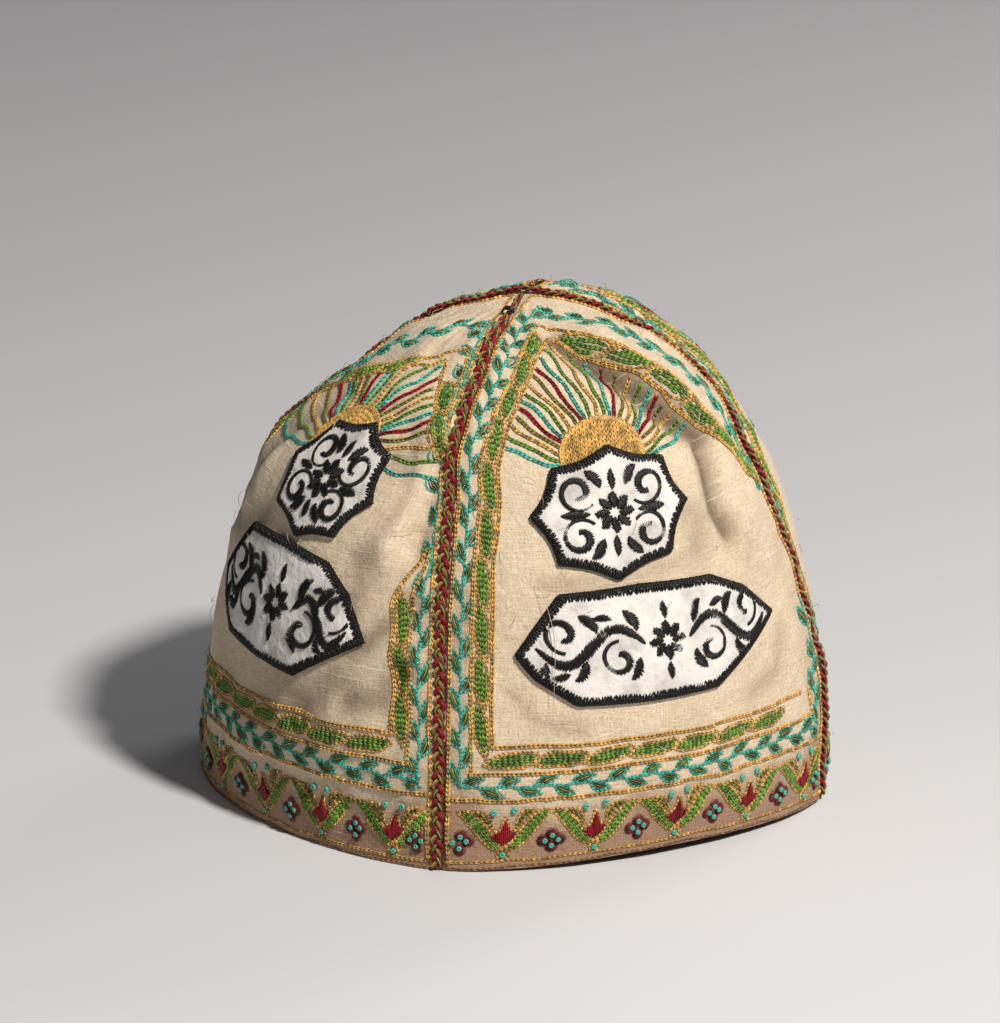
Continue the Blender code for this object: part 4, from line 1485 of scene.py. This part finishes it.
class SKULLCAP_OT_tulips(bpy.types.Operator):
    """Embroiders the tulip band over the hem"""

    bl_idname = "skullcap.tulips"
    bl_label = "Tulip band"

    def execute(self, context):
        for number, (gore, (first, pitch)) in enumerate(TULIPS.items()):
            gold, green, olive, red, petals = [], [], [], [], []
            beads, small, dots = [], [], []
            half = float(half_width(gore, 0.010)) - BAND_MARGIN
            hem = np.linspace(-half - 0.001, half + 0.001, 60)
            brown = np.stack([hem, np.full(60, HEM_LINE)], -1)
            edge = np.stack([hem * 1.03, 0.0006 + 0.0003 * np.sin(hem / 0.004)], -1)
            for k in range(TULIP_COUNT):
                middle = (first + k * pitch, 0)
                for side in (-1, 1):
                    upper, lower, rows = tulip_leaf(middle[0], side, pitch)
                    gold += [upper, lower]
                    green += rows
                outline = np.array(TULIP_OUTLINE) + middle
                red += hatch(outline, FLOWER_ROW, pi / 2)
                gold.append(np.vstack([outline, outline[:1]]))
                for base, tip, curl in SPRIGS:
                    base, tip = np.add(base, middle), np.add(tip, middle)
                    left, right, spine = ellipse_leaf(base, tip, SPRIG_WIDTH, curl)
                    gold += [left, right]
                    olive.append(spine[1:-1])
                beads += [np.add(place, middle) for place in BEADS]
                dots.append(np.add(DOT, middle))
                gold.append(oval(dots[-1], DOT_RING, DOT_RING, np.linspace(0, FULL_TURN, 14)))
            for k in range(TULIP_COUNT + 1):
                middle = first + (k - 0.5) * pitch
                middle = np.clip(middle, -half + BERRY_ROOM, half - BERRY_ROOM)
                for x, y in BERRY:
                    centre = (middle + x, BERRY_HEIGHT + y)
                    if abs(centre[0]) <= half:
                        turn = np.arange(12) * FULL_TURN / 12
                        disc = oval(centre, PETAL_WIDE, PETAL_HIGH, turn)
                        petals += hatch(disc, PETAL_ROW, 0.6 + x * 200)
                        small.append((middle + x * BERRY_KNOTS, BERRY_HEIGHT + y * BERRY_KNOTS))
            red, petals = ([line for line in group if np.abs(line[:, 0]).max() < half]
                           for group in (red, petals))
            beads, small, dots = ([place for place in group if abs(place[0]) < half]
                                  for group in (beads, small, dots))
            seed = 200 + number * 10
            embroider("tulip_gold", gore, "gold_thread",
                      chains("tulip_edge", kept_within(gold, half), seed),
                      chains("hem_line", [brown], seed))
            embroider("hem_thread", gore, "black_thread", chains("hem_edge", [edge], seed))
            embroider("tulip_leaves", gore, "green_thread",
                      chains("tulip_leaf", kept_within(green, half), seed))
            embroider("tulip_sprigs", gore, "green_thread",
                      chains("tulip_sprig", kept_within(olive, half), seed))
            embroider("tulip_flowers", gore, "red_thread", satin("tulip", fine(red)))
            embroider("berry_petals", gore, "red_thread", satin("berry", fine(petals)))
            embroider("knots", gore, "teal_thread", knots("bead", beads), knots("berry", small),
                      knots("dot", dots))
        return {"FINISHED"}


def stroke(points, width, taper=0.7):
    """A line whose width swells from thin ends, kept in its third column."""
    points = resampled(points, 0.0004)
    t = np.linspace(0, 1, len(points))
    return np.column_stack([points, width * (0.22 + 0.78 * np.sin(pi * t) ** taper)])


def spiral(centre, start, turns, size, hand):
    """A tendril that winds in towards its centre and ends in a knob."""
    t = np.linspace(0, 1, 50)
    angle = start + hand * t * turns * FULL_TURN
    reach = size * (1 - 0.70 * t)
    points = np.column_stack([centre[0] + reach * np.cos(angle),
                              centre[1] + reach * np.sin(angle)])
    swell = np.minimum(BOLD * (0.30 + 0.70 * t ** 1.3), 650 * reach)
    return np.column_stack([points, swell])


def petal(base, angle, length, width=BOLD, bend=0.0):
    """A pointed leaf that bends to one side."""
    turn = angle + bend * np.linspace(0, 1, 12)
    step = length / 12
    x, y = base[0] + np.cumsum(np.cos(turn)) * step, base[1] + np.cumsum(np.sin(turn)) * step
    return stroke(np.column_stack([x, y]), width, 0.8)


def scroll_strokes(form, wide, high):
    """A leaf scroll for a patch, the same on both sides of a rosette."""
    strokes = [petal((ROSETTE * cos(a), ROSETTE * sin(a)), a, 0.0044)
               for a in np.arange(8) * FULL_TURN / 8]
    reach, rise = wide / 2 - 0.0062, high / 2 - 0.0052
    half = []
    if form == "cartouche":
        start = 0.0072
        span = reach - start
        t = np.linspace(0, 1, 60)
        stem = np.column_stack([start + span * t, 0.42 * rise * np.sin(FULL_TURN * t)])
        half.append(stroke(stem, BOLD, 0.5))
        for share, lift in ((0.25, -1), (0.75, 1)):
            centre = (start + span * share, lift * rise * 0.34)
            half.append(spiral(centre, -lift * pi / 2, 1.0, rise * 0.46, lift))
        for share, lift, bend in SCROLL_LEAVES:
            base = (start + span * share, lift * rise * 0.30)
            half.append(petal(base, lift * pi / 2, rise * 0.62, bend=bend))
        for share, lift in ((0.27, 1), (0.72, -1)):
            base = (start + span * share, lift * rise * 0.62)
            half.append(petal(base, lift * 0.5, span * 0.17, SLIM, -lift * 0.6))
    else:
        for lift in (-1, 1):
            centre = (reach * 0.58, lift * rise * 0.46)
            half.append(spiral(centre, -lift * 2.4, 1.15, rise * 0.40, lift))
            half.append(petal((reach * 0.20, lift * rise * 0.50), lift * 1.35, rise * 0.48,
                              bend=-lift * 0.8))
        half.append(petal((0.0066, 0.0), 0.0, reach * 0.48))
    for line in half:
        strokes += [line, line * (-1, 1, 1)]
    strokes += [petal((0.0, lift * 0.0062), lift * pi / 2, rise * 0.42, SLIM)
                for lift in (-1, 1)]
    return strokes


class SKULLCAP_OT_patch_stitches(bpy.types.Operator):
    """Stitches the black edging and the leaf scroll on each patch"""

    bl_idname = "skullcap.patch_stitches"
    bl_label = "Patch stitches"

    def execute(self, context):
        top = FELT_SEAT + context.scene.skullcap_cloth.felt
        for number, row in enumerate(PATCHES):
            form, gore, across, up, width, height, tilt, lean = row
            rims = []
            for grow in PATCH_RIMS:
                edge = patch_outline(row, 240, grow=grow)
                rims.append([np.vstack([edge, edge[:1]])])
            room, strokes = patch_outline(row, grow=SCROLL_ROOM), []
            for line in scroll_strokes(form, width, height):
                x, y = rotated(line[:, 0] + lean * line[:, 1], line[:, 1], radians(tilt))
                placed = np.column_stack([across + x, up + y, line[:, 2]])
                strokes += split_at(placed, ~inside(placed[:, :2], room))
            seed = 300 + number * 10
            embroider(form + "_black", gore, "black_thread",
                      chains("patch_edge", rims[0], seed, top * EDGE_SHARE),
                      bars("patch_edge", rims[1], seed, top),
                      bars("patch_rim", rims[2], seed, top),
                      bars("scroll", strokes, seed, top + SCROLL_LIFT), drawn=False)
        return {"FINISHED"}


class SKULLCAP_OT_lint(bpy.types.Operator):
    """Lays loose fibres and one long thread on the cloth"""

    bl_idname = "skullcap.lint"
    bl_label = "Loose fibres"

    def execute(self, context):
        chance = np.random.default_rng(11)
        t = np.linspace(0, 1, 9)
        for gore in GORES:
            hairs = []
            for _ in range(LINT_COUNT):
                up = chance.uniform(*LINT_UP)
                half = float(half_width(gore, up)) - 0.001
                across = chance.uniform(-half, half)
                length, turn = chance.uniform(*LINT_LENGTH), chance.uniform(0, FULL_TURN)
                bend = turn + chance.uniform(-LINT_BEND, LINT_BEND) * t
                hairs.append(np.stack([across + np.cumsum(np.cos(bend)) * length / 9,
                                       up + np.cumsum(np.sin(bend)) * length / 9], -1))
            embroider("lint", gore, "cotton", satin("lint", hairs), drawn=False)
        t = np.linspace(0, 1, 30)
        trail = np.stack([-0.0335 + 0.0016 * np.sin(t * 4) - 0.0008 * t, 0.0835 - 0.034 * t], -1)
        embroider("loose_thread", "front_right", "cotton", satin("loose_thread", [trail]),
                  drawn=False)
        return {"FINISHED"}


def seam_guide(azimuths, ups, sizes, out):
    """Line of a seam braid that carries its facing."""
    azimuths, ups = np.asarray(azimuths, float), np.asarray(ups, float)
    place = surface(azimuths, ups, out)
    way = np.gradient(place, axis=0)
    facing = place - surface(azimuths, ups, -0.004)
    facing -= way * ((facing * way).sum(1) / (way * way).sum(1))[:, None]
    facing /= np.linalg.norm(facing, axis=1, keepdims=True)
    edges = [(i, i + 1) for i in range(len(place) - 1)]
    return guide_object("seam_guide", place, edges, facing, np.broadcast_to(sizes, len(place)))


class SKULLCAP_OT_braids(bpy.types.Operator):
    """Braids the seam cords from three silk strands each"""

    bl_idname = "skullcap.braids"
    bl_label = "Seam braids"

    def execute(self, context):
        braid = context.scene.skullcap_braid
        foot, step, wrap = 0.0012, 0.0015, CROWN - 0.0150
        side = np.arange(foot, CROWN - 0.0005, step)
        over_up = np.concatenate([side, [CROWN], side[::-1]])
        over_turn = np.concatenate([np.full(len(side), -90.0), np.full(len(side) + 1, 90.0)])
        end = np.arange(foot, CROWN - 0.0026, step)
        thin = 1 - 0.45 * eased((end - wrap + 0.006) / 0.006)
        cords = {"across": (over_turn, over_up, 1.0), "front": (np.zeros(len(end)), end, thin),
                 "back": (np.full(len(end), 180.0), end, thin)}
        for name, line in cords.items():
            for colour, yarns in YARNS.items():
                meshes = [grown_mesh(seam_guide(*line, 0.0016), braid_tree, {
                    "Width": braid.width * 0.60, "Lobe": braid.lobe, "Height": 0.00055,
                    "Strand": float(strand), "Beside": place * braid.width * 0.12,
                    "Radius": braid.width * 0.080, "Ply": lift * 0.0002,
                    "Material": thread_material(colour)}) for strand, place, lift in yarns]
                piece = join_meshes("seam_braid_" + name + "_" + colour, meshes)
                settle(piece, "braid", "seam_cord_" + name)
        across = np.linspace(-0.0017, 0.0017, 9)
        turn = np.degrees(across / meridian(0.0, wrap)[0])
        rise = 0.0034 * np.sqrt(1 - (across / 0.0018) ** 2)
        turns = []
        _, _, make, inputs = satin("wrap", [])
        for step in (-0.0006, 0.0, 0.0006):
            guide = seam_guide(turn, np.full(9, wrap + step), 1.0, rise)
            turns.append(grown_mesh(guide, make, inputs))
        settle(join_meshes("seam_braid_front_wrap", turns), "braid", "seam_cord_front")
        return {"FINISHED"}


def add_light(name, place, size, power, colour):
    lamp = bpy.data.lights.new(name, "AREA")
    lamp.shape, lamp.size, lamp.energy, lamp.color = "DISK", size, power, colour
    obj = link(bpy.data.objects.new(name, lamp))
    obj.location = place
    obj.rotation_mode = "QUATERNION"
    obj.rotation_quaternion = (CAP_MIDDLE - obj.location).to_track_quat("-Z", "Y")


def add_camera(stage):
    """Camera at the photograph's angle."""
    back = Vector((sin(stage.azimuth) * cos(stage.elevation),
                   -cos(stage.azimuth) * cos(stage.elevation), sin(stage.elevation)))
    right = Vector((cos(stage.azimuth), sin(stage.azimuth), 0))
    shift = back.cross(right) * MIDDLE_DOWN - right * MIDDLE_RIGHT
    data = bpy.data.cameras.new("camera")
    data.sensor_width = 36.0
    data.lens = PIXELS_PER_METRE * stage.distance / PICTURE_HIGH * data.sensor_width
    data.clip_start, data.clip_end = 0.05, 50.0
    camera = link(bpy.data.objects.new("camera", data))
    camera.location = CAP_MIDDLE + back * stage.distance + shift / PIXELS_PER_METRE
    camera.rotation_mode = "QUATERNION"
    camera.rotation_quaternion = (-back).to_track_quat("-Z", "Y")
    bpy.context.scene.camera = camera


class SKULLCAP_OT_stage(bpy.types.Operator):
    """Makes the floor, the studio lights and the camera"""

    bl_idname = "skullcap.stage"
    bl_label = "Stage"

    def execute(self, context):
        corners = [(x * FLOOR_REACH, y * FLOOR_REACH, 0)
                   for x, y in ((-1, -1), (1, -1), (1, 1), (-1, 1))]
        material = bpy.data.materials.new("pale_floor")
        material.use_nodes = True
        shader = material.node_tree.nodes["Principled BSDF"]
        shader.inputs["Base Color"].default_value = FLOOR_COLOUR
        shader.inputs["Roughness"].default_value = 0.8
        mesh_object("floor", corners, [(0, 1, 2, 3)], material)
        world = bpy.data.worlds.new("studio")
        world.use_nodes = True
        back = world.node_tree.nodes["Background"]
        back.inputs["Color"].default_value = SKY_COLOUR
        back.inputs["Strength"].default_value = SKY_STRENGTH
        context.scene.world = world
        context.scene.view_settings.view_transform = "Standard"
        for light in LIGHTS:
            add_light(*light)
        add_camera(context.scene.skullcap_stage)
        return {"FINISHED"}


class SKULLCAP_PT_panel(bpy.types.Panel):
    """Lists the steps that make the skullcap"""

    bl_idname = "SKULLCAP_PT_panel"
    bl_label = "Embroidered Skullcap"
    bl_space_type = "VIEW_3D"
    bl_region_type = "UI"
    bl_category = "Skullcap"

    def draw(self, context):
        for name, group in SETTINGS.items():
            box = self.layout.box()
            for key in group.__annotations__:
                box.prop(getattr(context.scene, name), key)
        for operator in STEPS:
            self.layout.operator(operator.bl_idname)


SETTINGS = {
    "skullcap_cloth": ClothSettings,
    "skullcap_threads": ThreadSettings,
    "skullcap_braid": BraidSettings,
    "skullcap_stage": StageSettings,
}
STEPS = (
    SKULLCAP_OT_cloth,
    SKULLCAP_OT_patches,
    SKULLCAP_OT_borders,
    SKULLCAP_OT_suns,
    SKULLCAP_OT_tulips,
    SKULLCAP_OT_patch_stitches,
    SKULLCAP_OT_lint,
    SKULLCAP_OT_braids,
    SKULLCAP_OT_stage,
)


def register():
    for group in SETTINGS.values():
        bpy.utils.register_class(group)
    for step in STEPS + (SKULLCAP_PT_panel,):
        bpy.utils.register_class(step)
    for name, group in SETTINGS.items():
        setattr(bpy.types.Scene, name, PointerProperty(type=group))


def unregister():
    for name in SETTINGS:
        delattr(bpy.types.Scene, name)
    for step in STEPS + (SKULLCAP_PT_panel,):
        bpy.utils.unregister_class(step)
    for group in SETTINGS.values():
        bpy.utils.unregister_class(group)


def main():
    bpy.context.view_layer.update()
    register()
    bpy.ops.skullcap.cloth()
    bpy.ops.skullcap.patches()
    bpy.ops.skullcap.borders()
    bpy.ops.skullcap.suns()
    bpy.ops.skullcap.tulips()
    bpy.ops.skullcap.patch_stitches()
    bpy.ops.skullcap.lint()
    bpy.ops.skullcap.braids()
    bpy.ops.skullcap.stage()


if __name__ == "__main__":
    main()
